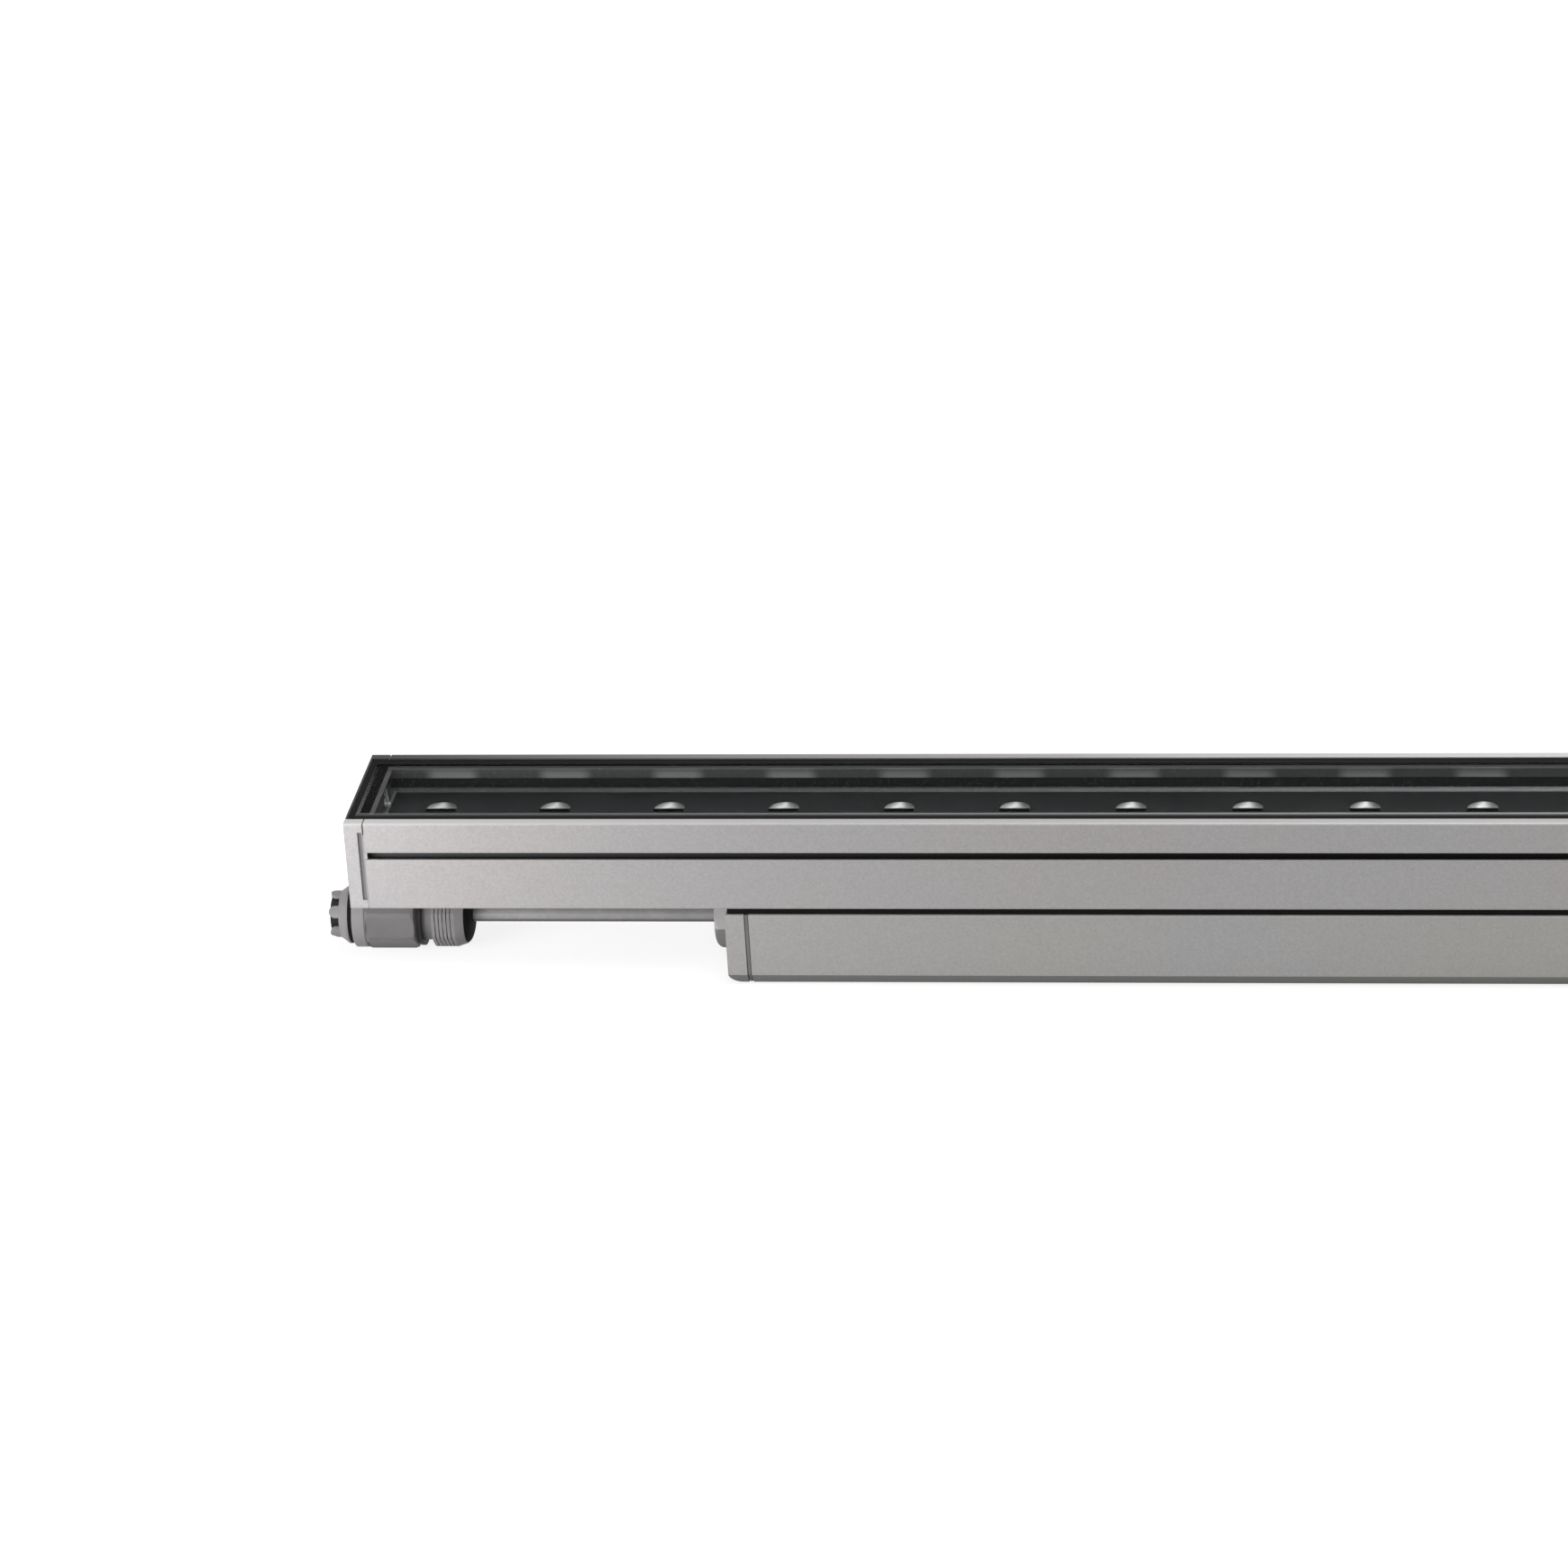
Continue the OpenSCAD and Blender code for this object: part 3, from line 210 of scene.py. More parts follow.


# a stretch of the rim's top, on one side and round the end, that takes a painted rim tone for light
# and shade; it fades from left to right
def rimLightShadeMask(tree, space, rim):
    x, y, z = axes(tree, space)
    leftward = sums(tree, "MULTIPLY", x, -1)
    outward = sums(tree, "MULTIPLY", y, rim["side"])
    reach = sums(tree, "MAXIMUM", sums(tree, "SUBTRACT", outward, rim["from"]),
                 sums(tree, "SUBTRACT", leftward, rim["endFrom"]))
    onRim = sums(tree, "MULTIPLY", sums(tree, "GREATER_THAN", reach, 0),
                 sums(tree, "GREATER_THAN", z, rim["above"]))
    return sums(tree, "MULTIPLY", onRim, remap(tree, x, 1, 0, rim["left"], rim["right"]))


# 1 inside the side grooves, 0 on the faces: the grooves' insides take painted shade, a dull
# near-black tone
def grooveMask(tree, space, groove):
    x, y, z = axes(tree, space)
    deep = sums(tree, "LESS_THAN", sums(tree, "ABSOLUTE", y), groove["inFrom"])
    shallow = sums(tree, "GREATER_THAN", sums(tree, "ABSOLUTE", y), groove["inTo"])
    level = sums(tree, "ABSOLUTE", sums(tree, "SUBTRACT", z, groove["level"]))
    near = sums(tree, "LESS_THAN", level, groove["half"])
    return sums(tree, "MULTIPLY", sums(tree, "MULTIPLY", deep, shallow), near)


# how near a spot lies to the axis of its light point: 1 inside the inner radius, 0 past the outer
def lightPointMask(tree, space, look):
    x, y, z = axes(tree, space)
    turn = sums(tree, "FRACT", sums(tree, "DIVIDE", x, points["pitch"]))
    across = sums(tree, "MULTIPLY", sums(tree, "SUBTRACT", turn, 0.5), points["pitch"])
    along = sums(tree, "SUBTRACT", y, points["line"])
    away = sums(tree, "SQRT", sums(tree, "ADD", sums(tree, "MULTIPLY", across, across),
                                   sums(tree, "MULTIPLY", along, along)))
    if "lean" in look:
        away = sums(tree, "ADD", sums(tree, "ABSOLUTE", across),
                    sums(tree, "MULTIPLY", sums(tree, "ABSOLUTE", along), look["lean"]))
    return remap(tree, away, 1, 0, look["inner"], look["outer"], "SMOOTHSTEP")


# moulded plastic and rubber: mottled tone, pebbled skin, dusty light patches
def moulded(name, look):
    mat, tree, bsdf, out = blankMaterial(name)
    space = objectSpace(tree)
    skin = noise(tree, space, look["skinScale"], *weave["skin"])
    cloud = noise(tree, space, look["cloudScale"], *weave["cloud"])
    color = mixColor(tree, remap(tree, cloud, 0, 1),
                     darker(look["tone"], look["contrast"]), lighter(look["tone"], look["contrast"]))
    dusty = remap(tree, skin, 0, look["speck"], *ramp["dust"])
    color = mixColor(tree, dusty, color, look["dust"])
    if "bedTone" in look:
        x, y, z = axes(tree, space)
        under = sums(tree, "MULTIPLY", sums(tree, "LESS_THAN", z, look["bedTop"]),
                     sums(tree, "LESS_THAN", sums(tree, "ABSOLUTE", y), look["bedHalf"]))
        under = sums(tree, "MULTIPLY", under,
                     sums(tree, "LESS_THAN", sums(tree, "ABSOLUTE", x), look["bedEnd"]))
        color = mixColor(tree, under, color, look["bedTone"])
    if "ringTone" in look:
        color = mixColor(tree, lightPointMask(tree, space, look), color, look["ringTone"])
    # painted shade: darker towards the bottom
    if "lowShade" in look:
        low = remap(tree, axes(tree, space)[2], 1, 0, look["lowFrom"], look["lowTo"], "SMOOTHSTEP")
        color = mixColor(tree, low, color, look["lowShade"])
    for start, end, tone in look.get("bands", []):
        x = axes(tree, space)[0]
        within = sums(tree, "MULTIPLY", sums(tree, "GREATER_THAN", x, start),
                      sums(tree, "LESS_THAN", x, end))
        color = mixColor(tree, within, color, tone)
    tree.links.new(color, bsdf.inputs["Base Color"])
    tree.links.new(remap(tree, cloud, look["rough"] - roughSway, look["rough"] + roughSway),
                   bsdf.inputs["Roughness"])
    bsdf.inputs["Specular IOR Level"].default_value = look.get("shine", 0.5)
    edge = softEdge(tree, look["edge"])
    tree.links.new(bump(tree, skin, look["relief"], reliefDepth["moulded"], edge),
                   bsdf.inputs["Normal"])
    return mat


# turned or drawn bright metal: rings or lines with scattered stains
def machined(name, look):
    mat, tree, bsdf, out = blankMaterial(name)
    turned = objectSpace(tree, look["lineStretch"])
    lines = noise(tree, turned, look["lineScale"], *weave["line"])
    stain = noise(tree, objectSpace(tree), look["stainScale"], *weave["cloud"])
    color = mixColor(tree, remap(tree, lines, 0, 1), darker(look["tone"], look["lineDepth"]),
                     look["tone"])
    color = mixColor(tree, remap(tree, stain, 0, look["stain"]), color, look["stainTone"])
    # painted highlight: the metal is lighter round each light point's axis
    if "ringTone" in look:
        near = lightPointMask(tree, objectSpace(tree), look)
        color = mixColor(tree, near, color, look["ringTone"])
    tree.links.new(color, bsdf.inputs["Base Color"])
    tree.links.new(remap(tree, lines, look["rough"] - roughSway, look["rough"] + look["roughRise"]),
                   bsdf.inputs["Roughness"])
    bsdf.inputs["Metallic"].default_value = 1
    edge = softEdge(tree, look["edge"])
    tree.links.new(bump(tree, lines, look["relief"], reliefDepth["turned"], edge),
                   bsdf.inputs["Normal"])
    return mat


# the ground line just inside the glass's edges: it fades to the back, and painted shade darkens it
# towards the left end
def edgeLineMask(tree, space, look):
    x, y, z = axes(tree, space)
    low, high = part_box("glass_cover")
    top = sums(tree, "GREATER_THAN", z, high.z - look["topSkin"])
    sideGap = sums(tree, "SUBTRACT", high.y, sums(tree, "ABSOLUTE", y))
    endGap = sums(tree, "SUBTRACT", high.x, sums(tree, "ABSOLUTE", x))
    gap = sums(tree, "MINIMUM", sideGap, endGap)
    inside = sums(tree, "MULTIPLY", sums(tree, "GREATER_THAN", gap, look["lineFrom"]),
                  sums(tree, "LESS_THAN", gap, look["lineTo"]))
    fade = remap(tree, y, 1, look["lineBack"], low.y * look["reach"], high.y * look["reach"])
    # painted shade: the line is darkened towards the left end
    leftShade = remap(tree, x, look["lineLeftShade"], 1, low.x * look["reach"], 0)
    fade = sums(tree, "MULTIPLY", fade, leftShade)
    return sums(tree, "MULTIPLY", sums(tree, "MULTIPLY", inside, top), fade)


# glass and lens plastic: bends the view, and lets the studio light straight through
def clear(name, look):
    mat, tree, bsdf, out = blankMaterial(name)
    space = objectSpace(tree)
    film = noise(tree, space, look["filmScale"], *weave["cloud"])
    refract = tree.nodes.new("ShaderNodeBsdfRefraction")
    refract.inputs["IOR"].default_value = look["ior"]
    plug(tree, mixColor(tree, remap(tree, film, 0, 1), look["tint"], look["filmTint"]),
         refract.inputs["Color"])
    gloss = tree.nodes.new("ShaderNodeBsdfGlossy")
    plug(tree, look["sheen"], gloss.inputs["Color"])
    plug(tree, remap(tree, film, look["gloss"], look["haze"]), gloss.inputs["Roughness"])
    fresnel = tree.nodes.new("ShaderNodeFresnel")
    fresnel.inputs["IOR"].default_value = look["sheenIor"]
    body = mixShader(tree, fresnel.outputs["Fac"], refract.outputs["BSDF"], gloss.outputs["BSDF"])
    if "ground" in look:
        # the bevel sinks into the black seal; a ground line runs round the top just inside it
        normal = tree.nodes.new("ShaderNodeNewGeometry")
        tilt = sums(tree, "ABSOLUTE", axes(tree, normal.outputs["True Normal"])[2])
        lean = sums(tree, "MULTIPLY", sums(tree, "GREATER_THAN", tilt, look["leanFrom"]),
                    sums(tree, "LESS_THAN", tilt, look["leanTo"]))
        line = edgeLineMask(tree, space, look)
        grit = noise(tree, space, look["gritScale"], *weave["skin"])
        bright = mixColor(tree, remap(tree, grit, 0, 1), darker(look["ground"], look["gritDepth"]),
                          look["ground"])
        plug(tree, mixColor(tree, lean, bright, look["bevelTone"]), bsdf.inputs["Base Color"])
        bsdf.inputs["Roughness"].default_value = look["groundRough"]
        body = mixShader(tree, sums(tree, "MAXIMUM", lean, line), body, bsdf.outputs["BSDF"])
    else:
        tree.nodes.remove(bsdf)
    through = tree.nodes.new("ShaderNodeBsdfTransparent")
    plug(tree, look["through"], through.inputs["Color"])
    path = tree.nodes.new("ShaderNodeLightPath")
    easy = sums(tree, "MAXIMUM", path.outputs["Is Shadow Ray"], path.outputs["Is Diffuse Ray"])
    tree.links.new(mixShader(tree, easy, body, through.outputs["BSDF"]), out.inputs["Surface"])
    return mat


# mesh builders

def meshPiece(name, verts, faces, mat, body=mainBody, smooth=True):
    mesh = bpy.data.meshes.new(name)
    mesh.from_pydata(verts, [], faces)
    mesh.validate()
    if smooth:
        mesh.shade_smooth()
    obj = bpy.data.objects.new(name, mesh)
    bpy.context.scene.collection.objects.link(obj)
    obj.data.materials.append(mat)
    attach(obj, body)
    return obj


# closed loops of points joined into a skin; each loop has the same count
def loft(loops, closeEnds=False):
    count = len(loops[0])
    verts = [p for loop in loops for p in loop]
    faces = []
    for r in range(len(loops) - 1):
        a = r * count
        b = a + count
        for i in range(count):
            j = (i + 1) % count
            faces.append((a + i, a + j, b + j, b + i))
    if closeEnds:
        faces.append(tuple(range(count))[::-1])
        faces.append(tuple(range(len(verts) - count, len(verts))))
    return verts, faces


# a round wire through the given points
def wireTube(points, radius, sides=12):
    loops = []
    lean = Vector((0.03, 1, 0.02)).normalized()  # no wire here runs this way
    for k, p in enumerate(points):
        before = points[max(0, k - 1)]
        after = points[min(len(points) - 1, k + 1)]
        along = (after - before).normalized()
        side = along.cross(lean).normalized()
        top = side.cross(along)
        loops.append([p + side * math.cos(t) * radius + top * math.sin(t) * radius
                      for t in (2 * math.pi * i / sides for i in range(sides))])
    return loft(loops, closeEnds=True)


def bezier(a, b, c, d, steps):
    out = []
    for k in range(steps + 1):
        t = k / steps
        u = 1 - t
        out.append(a * u ** 3 + b * 3 * u * u * t + c * 3 * u * t * t + d * t ** 3)
    return out


# the row of light points, as the frame gives it
chipLow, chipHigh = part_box("led_chips")
chipSide = chipHigh.y - chipLow.y
points = {"count": 18, "line": (chipLow.y + chipHigh.y) / 2}
points["pitch"] = (chipHigh.x - chipLow.x - chipSide) / (points["count"] - 1)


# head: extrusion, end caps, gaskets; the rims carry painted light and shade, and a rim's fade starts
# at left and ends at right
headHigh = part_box("head_profile")[1]
rimTop = headHigh.z - 0.0005
head = {
    "tone": (0.42, 0.412, 0.410), "shade": (0.34, 0.333, 0.329), "contrast": 0.10,
    "grainScale": 1100, "mottleScale": 420, "mottle": 0.22, "cloudScale": 22, "cloud": 0.07,
    "streakScale": 420, "streakStretch": (0.012, 1, 1), "streak": 0.08, "driftScale": 14,
    "warm": (1.0, 0.985, 0.965), "cool": (0.985, 0.985, 1.0), "rough": 0.46, "roughSway": 0.07,
    "metal": 0.3, "relief": 0.3, "shine": 0.25, "edge": 0.0007,
    "rimLightShade": [
        # painted shade on the back rim and the left end's top; painted highlights on the back rim at
        # right and on the front rim at left
        {"tone": (0.03, 0.03, 0.03), "side": 1, "from": 0.030, "endFrom": 0.4570,
         "above": rimTop, "left": -0.45, "right": -0.10},
        {"tone": (0.52, 0.52, 0.52), "side": 1, "from": 0.030, "endFrom": 1,
         "above": rimTop, "left": 0.02, "right": -0.15},
        {"tone": (0.49, 0.48, 0.48), "side": -1, "from": 0.031, "endFrom": 1,
         "above": rimTop, "left": -0.46, "right": -0.25},
    ],
    "groove": {"tone": (0.036, 0.035, 0.036), "leftTone": (0.095, 0.093, 0.096), "left": -0.45,
               "right": -0.15, "inFrom": headHigh.y - 0.0004, "inTo": headHigh.y - 0.0062,
               "level": 0.0618, "half": 0.0037},
}
cap = {**without(head, "groove"), "tone": (0.43, 0.425, 0.425), "streak": 0.03, "edge": 0.0006}
dress(anodised("satinSilver", head), "head_profile")
dress(anodised("satinSilverCap", cap), "end_cap_left", "end_cap_right")

gasket = {
    "tone": (0.42, 0.415, 0.415), "dust": (0.46, 0.46, 0.46), "contrast": 0.12, "speck": 0.35,
    "skinScale": 2200, "cloudScale": 60, "rough": 0.7, "relief": 0.3, "edge": 0.0001,
}
dress(moulded("gasketRubber", gasket), "end_gasket_left", "end_gasket_right")
boxGasket = {**gasket, "tone": (0.19, 0.19, 0.188), "dust": (0.25, 0.25, 0.25)}
boxRubber = moulded("boxGasketRubber", boxGasket)
dress(boxRubber, "driver_gasket_left", "driver_gasket_right")
inlay = {**gasket, "tone": (0.18, 0.176, 0.18), "dust": (0.26, 0.26, 0.26), "cloudScale": 90}
dress(moulded("capInlayRubber", inlay), "cap_inlays")

screws = {
    "tone": (0.62, 0.62, 0.63), "stainTone": (0.35, 0.34, 0.33), "stain": 0.3,
    "lineScale": 900, "lineStretch": (3, 1, 1), "lineDepth": 0.18, "stainScale": 300,
    "rough": 0.33, "roughRise": 0.08, "relief": 0.2, "edge": 0.0002,
}
dress(machined("screwSteel", screws), "end_cap_screws", "driver_cap_screws", "board_screws",
      "clip_screws", "hanger_bolts", "hanger_nuts")
print("head metal and screws done")

# cover glass and its black seal
glass = {
    "tint": (0.945, 0.95, 0.95), "filmTint": (0.915, 0.92, 0.92), "through": (0.845, 0.855, 0.855),
    "sheen": (0.30, 0.305, 0.305), "ior": 1.5, "sheenIor": 1.07, "gloss": 0.01, "haze": 0.05,
    "filmScale": 30, "ground": (0.24, 0.245, 0.245), "groundRough": 0.55, "gritScale": 2600,
    "gritDepth": 0.2, "bevelTone": (0.012, 0.012, 0.012), "leanFrom": 0.4, "leanTo": 0.9,
    "topSkin": 0.0001, "lineFrom": 0.0009, "lineTo": 0.0024, "lineBack": 0.03, "lineLeftShade": 0.30,
    "reach": 0.9,
}
dress(clear("coverGlass", glass), "glass_cover")

seal = {
    "tone": (0.010, 0.010, 0.010), "dust": (0.030, 0.030, 0.030), "contrast": 0.25, "speck": 0.3,
    "skinScale": 1700, "cloudScale": 45, "rough": 0.75, "relief": 0.25, "edge": 0.0001,
    "shine": 0.06,
}
sealRubber = moulded("sealRubber", seal)
glassLow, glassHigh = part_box("glass_cover")
bed = {**seal, "bedTone": (0.085, 0.085, 0.086), "bedHalf": glassHigh.y,
       "bedTop": glassLow.z + 0.0002, "bedEnd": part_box("rear_baffle")[1].x}
dress(moulded("sealBed", bed), "glass_seal")
# the gap strips are black rubber laid along the joint between head and box, a dark sheet standing in
# for the shade in that gap
dress(sealRubber, "gap_strips", "spacer_pads", "gland_seal", "coupling_seal_ring",
      "dome_seal")

# the dark chamber under the glass
chamber = {
    "tone": (0.005, 0.0055, 0.006), "dust": (0.011, 0.012, 0.013), "contrast": 0.2, "speck": 0.2,
    "skinScale": 1400, "cloudScale": 30, "rough": 0.5, "relief": 0.15, "edge": 0.0001,
    "shine": 0.2, "ringTone": (0.004, 0.004, 0.004), "inner": 0.0075, "outer": 0.0125,
}
dress(moulded("chamberTray", chamber), "lens_tray")

# the end baffles' inner edges carry a painted highlight, a lighter band, at both ends alike
lipHighlight = {"tone": (0.10, 0.10, 0.10), "width": 0.0010, "skin": 0.0001}
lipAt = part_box("end_baffle_right")[0].x
endBaffle = {
    "tone": (0.020, 0.020, 0.020), "dust": (0.034, 0.034, 0.034), "contrast": 0.2, "speck": 0.2,
    "skinScale": 1400, "cloudScale": 30, "rough": 0.4, "relief": 0.15, "edge": 0.0001,
    "bands": [(-lipAt - lipHighlight["width"], -lipAt + lipHighlight["skin"], lipHighlight["tone"]),
              (lipAt - lipHighlight["skin"], lipAt + lipHighlight["width"], lipHighlight["tone"])],
}
dress(moulded("endBaffle", endBaffle), "end_baffle_left", "end_baffle_right")


# glossy black skins; the upper strip is satin grey and has a painted reflection of each lens, a
# brighter patch behind it; the foot has a painted highlight
def baffleSkin(name, look):
    mat, tree, bsdf, out = blankMaterial(name)
    space = objectSpace(tree)
    x, y, z = axes(tree, space)
    skin = noise(tree, space, look["skinScale"], *weave["skin"])
    drawn = objectSpace(tree, look["streakStretch"])
    streak = noise(tree, drawn, look["streakScale"], *weave["skin"])
    low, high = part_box("rear_baffle")
    stripTo = high.z - look["stripHeight"]
    strip = sums(tree, "GREATER_THAN", z, stripTo)
    rise = remap(tree, z, 0, 1, stripTo, high.z)
    stripTone = mixColor(tree, rise, look["stripLow"], look["stripHigh"])
    # painted lens reflections: they draw together toward the middle as mirror images would
    shifted = sums(tree, "SUBTRACT", sums(tree, "MULTIPLY", x, look["patchDraw"]),
                   look["patchShift"])
    turn = sums(tree, "FRACT", sums(tree, "DIVIDE", shifted, points["pitch"]))
    away = sums(tree, "ABSOLUTE", sums(tree, "SUBTRACT", turn, 0.5))
    lensReflection = remap(tree, away, 1, 0, look["patchCore"], look["patchEdge"], "SMOOTHSTEP")
    fade = remap(tree, z, 1, 0, stripTo + look["patchFull"], stripTo + look["patchTop"],
                 "SMOOTHSTEP")
    stripTone = mixColor(tree, sums(tree, "MULTIPLY", lensReflection, fade), stripTone, look["lensReflectionTone"])
    color = mixColor(tree, strip, look["tone"], stripTone)
    color = mixColor(tree, remap(tree, streak, 0, look["streak"]), color, look["tone"])
    # painted highlight along the foot, brighter to the right
    toe = sums(tree, "LESS_THAN", z, low.z + look["toeHeight"])
    toeHighlight = mixColor(tree, remap(tree, x, 0, 1, low.x, 0), look["toeHighlight"], look["toeHighlightRight"])
    color = mixColor(tree, toe, color, toeHighlight)
    tree.links.new(color, bsdf.inputs["Base Color"])
    tree.links.new(remap(tree, skin, look["polish"], look["rough"] + roughSway),
                   bsdf.inputs["Roughness"])
    bsdf.inputs["Specular IOR Level"].default_value = look["shine"]
    edge = softEdge(tree, look["edge"])
    tree.links.new(bump(tree, skin, look["relief"], reliefDepth["gloss"], edge),
                   bsdf.inputs["Normal"])
    return mat


baffles = {
    "tone": (0.034, 0.034, 0.034), "stripHeight": 0.0042, "stripLow": (0.17, 0.17, 0.17),
    "stripHigh": (0.18, 0.18, 0.18), "lensReflectionTone": (0.56, 0.56, 0.56), "patchShift": -0.001,
    "patchDraw": 1.0079, "patchCore": 0.13, "patchEdge": 0.27, "patchFull": 0.0006,
    "patchTop": 0.0056,
    "toeHeight": 0.0011, "toeHighlight": (0.055, 0.055, 0.055), "toeHighlightRight": (0.155, 0.155, 0.155),
    "skinScale": 900, "streakScale": 300, "streakStretch": (0.02, 1, 1), "streak": 0.15,
    "polish": 0.20, "rough": 0.24, "relief": 0.05, "edge": 0.0001, "shine": 0.5,
}
dress(baffleSkin("baffleGloss", baffles), "rear_baffle", "front_baffle")
print("glass and chamber done")

# reflector cups, lenses, chips and boards
# the cups are dark metal with a painted highlight, a lighter diamond round each light point
cups = {
    "tone": (0.12, 0.12, 0.12), "stainTone": (0.09, 0.09, 0.09), "stain": 0.2, "lean": 1.05,
    "lineScale": 900, "lineStretch": (1, 1, 1), "lineDepth": 0.18, "stainScale": 200,
    "rough": 0.58, "roughRise": 0.08, "relief": 0.05, "edge": 0.00005,
    "ringTone": (0.32, 0.32, 0.32), "inner": 0.0050, "outer": 0.0088,
}
dress(machined("cupMirror", cups), "reflector_cups")

lens = {
    "tint": (0.95, 0.97, 0.97), "filmTint": (0.92, 0.95, 0.95), "through": (0.9, 0.92, 0.92),
    "sheen": (0.9, 0.9, 0.9), "ior": 1.49, "sheenIor": 1.45, "gloss": 0.01, "haze": 0.04,
    "filmScale": 300,
}
dress(clear("lensPlastic", lens), "lens_domes")

chips = {
    "tone": (0.85, 0.70, 0.22), "dust": (0.95, 0.88, 0.55), "contrast": 0.1, "speck": 0.5,
    "skinScale": 5000, "cloudScale": 900, "rough": 0.5, "relief": 0.2, "edge": 0.00005,
}
dress(moulded("chipPhosphor", chips), "led_chips")

board = {
    "tone": (0.74, 0.75, 0.73), "dust": (0.60, 0.60, 0.55), "contrast": 0.06, "speck": 0.2,
    "skinScale": 1500, "cloudScale": 120, "rough": 0.45, "relief": 0.1, "edge": 0.0001,
}
dress(moulded("boardMask", board), "led_boards")

terminal = {
    "tone": (0.62, 0.62, 0.60), "dust": (0.8, 0.8, 0.78), "contrast": 0.08, "speck": 0.2,
    "skinScale": 2500, "cloudScale": 300, "rough": 0.4, "relief": 0.1, "edge": 0.0001,
}
dress(moulded("feedTerminal", terminal), "feed_terminal")
print("optics done")

# driver box and what it holds
box = {
    **without(cap, "rimLightShade"), "tone": (0.41, 0.405, 0.398), "shade": (0.34, 0.335, 0.325),
    # the foot bevel carries painted shade
    "rough": 0.48, "footShade": (0.17, 0.168, 0.162), "footHeight": 0.0054,
}
dress(anodised("boxAluminium", box), "driver_housing", "driver_cap_left", "driver_cap_right")

driver = {
    "tone": (0.72, 0.73, 0.73), "dust": (0.6, 0.6, 0.6), "contrast": 0.05, "speck": 0.3,
    "skinScale": 1200, "cloudScale": 25, "rough": 0.4, "relief": 0.15, "edge": 0.0003,
}
dress(moulded("driverPaint", driver), "driver_module")
blockDark = {**terminal, "tone": (0.05, 0.05, 0.055), "dust": (0.1, 0.1, 0.1)}
dress(moulded("terminalDark", blockDark), "terminal_block")
zinc = {**screws, "tone": (0.66, 0.68, 0.70), "lineStretch": (0.02, 1, 1)}
dress(machined("trayZinc", zinc), "driver_tray")
brass = {**screws, "tone": (0.78, 0.60, 0.27), "stainTone": (0.40, 0.28, 0.12), "stain": 0.35}
dress(machined("nippleBrass", brass), "feed_nipple", "feed_locknuts", "contacts")
print("driver box done")

# coupling, glands and cable
coupling = {
    "tone": (0.195, 0.188, 0.185), "dust": (0.27, 0.26, 0.255), "contrast": 0.10, "speck": 0.25,
    "skinScale": 1500, "cloudScale": 60, "rough": 0.46, "relief": 0.22, "edge": 0.0003,
    "shine": 0.15,
}
collar = {"from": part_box("coupling_seal_ring")[1].x, "width": 0.0058, "tone": (0.30, 0.29, 0.286)}
# painted shade on the shell's neck past the clip
neckShade = {"from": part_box("coupling_clip")[1].x, "width": 0.03, "tone": (0.070, 0.067, 0.066)}
shell = {
    # the shell's underside carries painted shade
    **coupling, "lowShade": (0.14, 0.135, 0.133), "lowFrom": 0.004, "lowTo": 0.010,
    "bands": [(part["from"], part["from"] + part["width"], part["tone"])
              for part in (collar, neckShade)],
}
dress(moulded("shellPlastic", shell), "coupling_shell")
nut = {**coupling, "tone": (0.27, 0.262, 0.26)}
dress(moulded("couplingPlastic", nut), "cable_nut")
ring = {**coupling, "tone": (0.27, 0.265, 0.262), "rough": 0.4}
dress(moulded("ringPlastic", ring), "locking_ring")
# the gland's lower facets carry painted shade
gland = {**coupling, "tone": (0.60, 0.595, 0.585), "dust": (0.66, 0.655, 0.65), "rough": 0.42,
         "lowShade": (0.32, 0.318, 0.312), "lowFrom": 0.0160, "lowTo": 0.0172}
dress(moulded("glandPlastic", gland), "gland_body", "gland_nut")

black = {**seal, "tone": (0.030, 0.029, 0.029), "rough": 0.45}
dress(moulded("blackPlastic", black), "contact_carrier")
shoulder = {"from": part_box("coupling_clip")[0].x, "width": 0.0040}
clip = {**black, "bands": [(shoulder["from"], shoulder["from"] + shoulder["width"],
                            coupling["tone"])]}
dress(moulded("clipPlastic", clip), "coupling_clip")

# the sheath's underside carries painted shade
cable = {
    "tone": (0.375, 0.37, 0.364), "dust": (0.43, 0.425, 0.42), "contrast": 0.10, "speck": 0.3,
    "lowShade": (0.11, 0.108, 0.106), "lowFrom": 0.0154, "lowTo": 0.0168,
    "skinScale": 900, "cloudScale": 90, "rough": 0.26, "relief": 0.15, "edge": 0.0001,
    "shine": 0.45,
}
dress(moulded("cableSheath", cable), "link_cable")
print("coupling and cable done")


# the silicone's hollow fillet between the rims and the glass
def sealFillet():
    fillet = {"climb": 0.00035, "lift": 0.00002, "inset": 0.00001, "gap": 0.00002, "steps": 7,
              "cuts": 40}
    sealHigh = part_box("glass_seal")[1]
    outX, outY = sealHigh.x - fillet["inset"], sealHigh.y - fillet["inset"]
    inX, inY = glassHigh.x + fillet["gap"], glassHigh.y + fillet["gap"]
    base = sealHigh.z
    rows = []
    for k in range(fillet["steps"] + 1):
        t = k / fillet["steps"]
        lift = fillet["climb"] * (2 * t - 1) ** 2 + fillet["lift"]
        rows.append((inX + (outX - inX) * t, inY + (outY - inY) * t, base + lift))
    cuts = [-1 + 2 * i / fillet["cuts"] for i in range(fillet["cuts"] + 1)]
    loops = []
    for x, y, z in rows:
        ring = [(x * c, -y, z) for c in cuts]
        ring += [(x, y * c, z) for c in cuts[1:]]
        ring += [(-x * c, y, z) for c in cuts[1:]]
        ring += [(-x, -y * c, z) for c in cuts[1:-1]]
        loops.append(ring)
    under = [(p[0], p[1], base) for p in loops[-1]]
    inner = [(p[0], p[1], base) for p in loops[0]]
    verts, faces = loft([inner] + loops + [under])
    return meshPiece("sealFillet", verts, faces, sealRubber)


sealFillet()


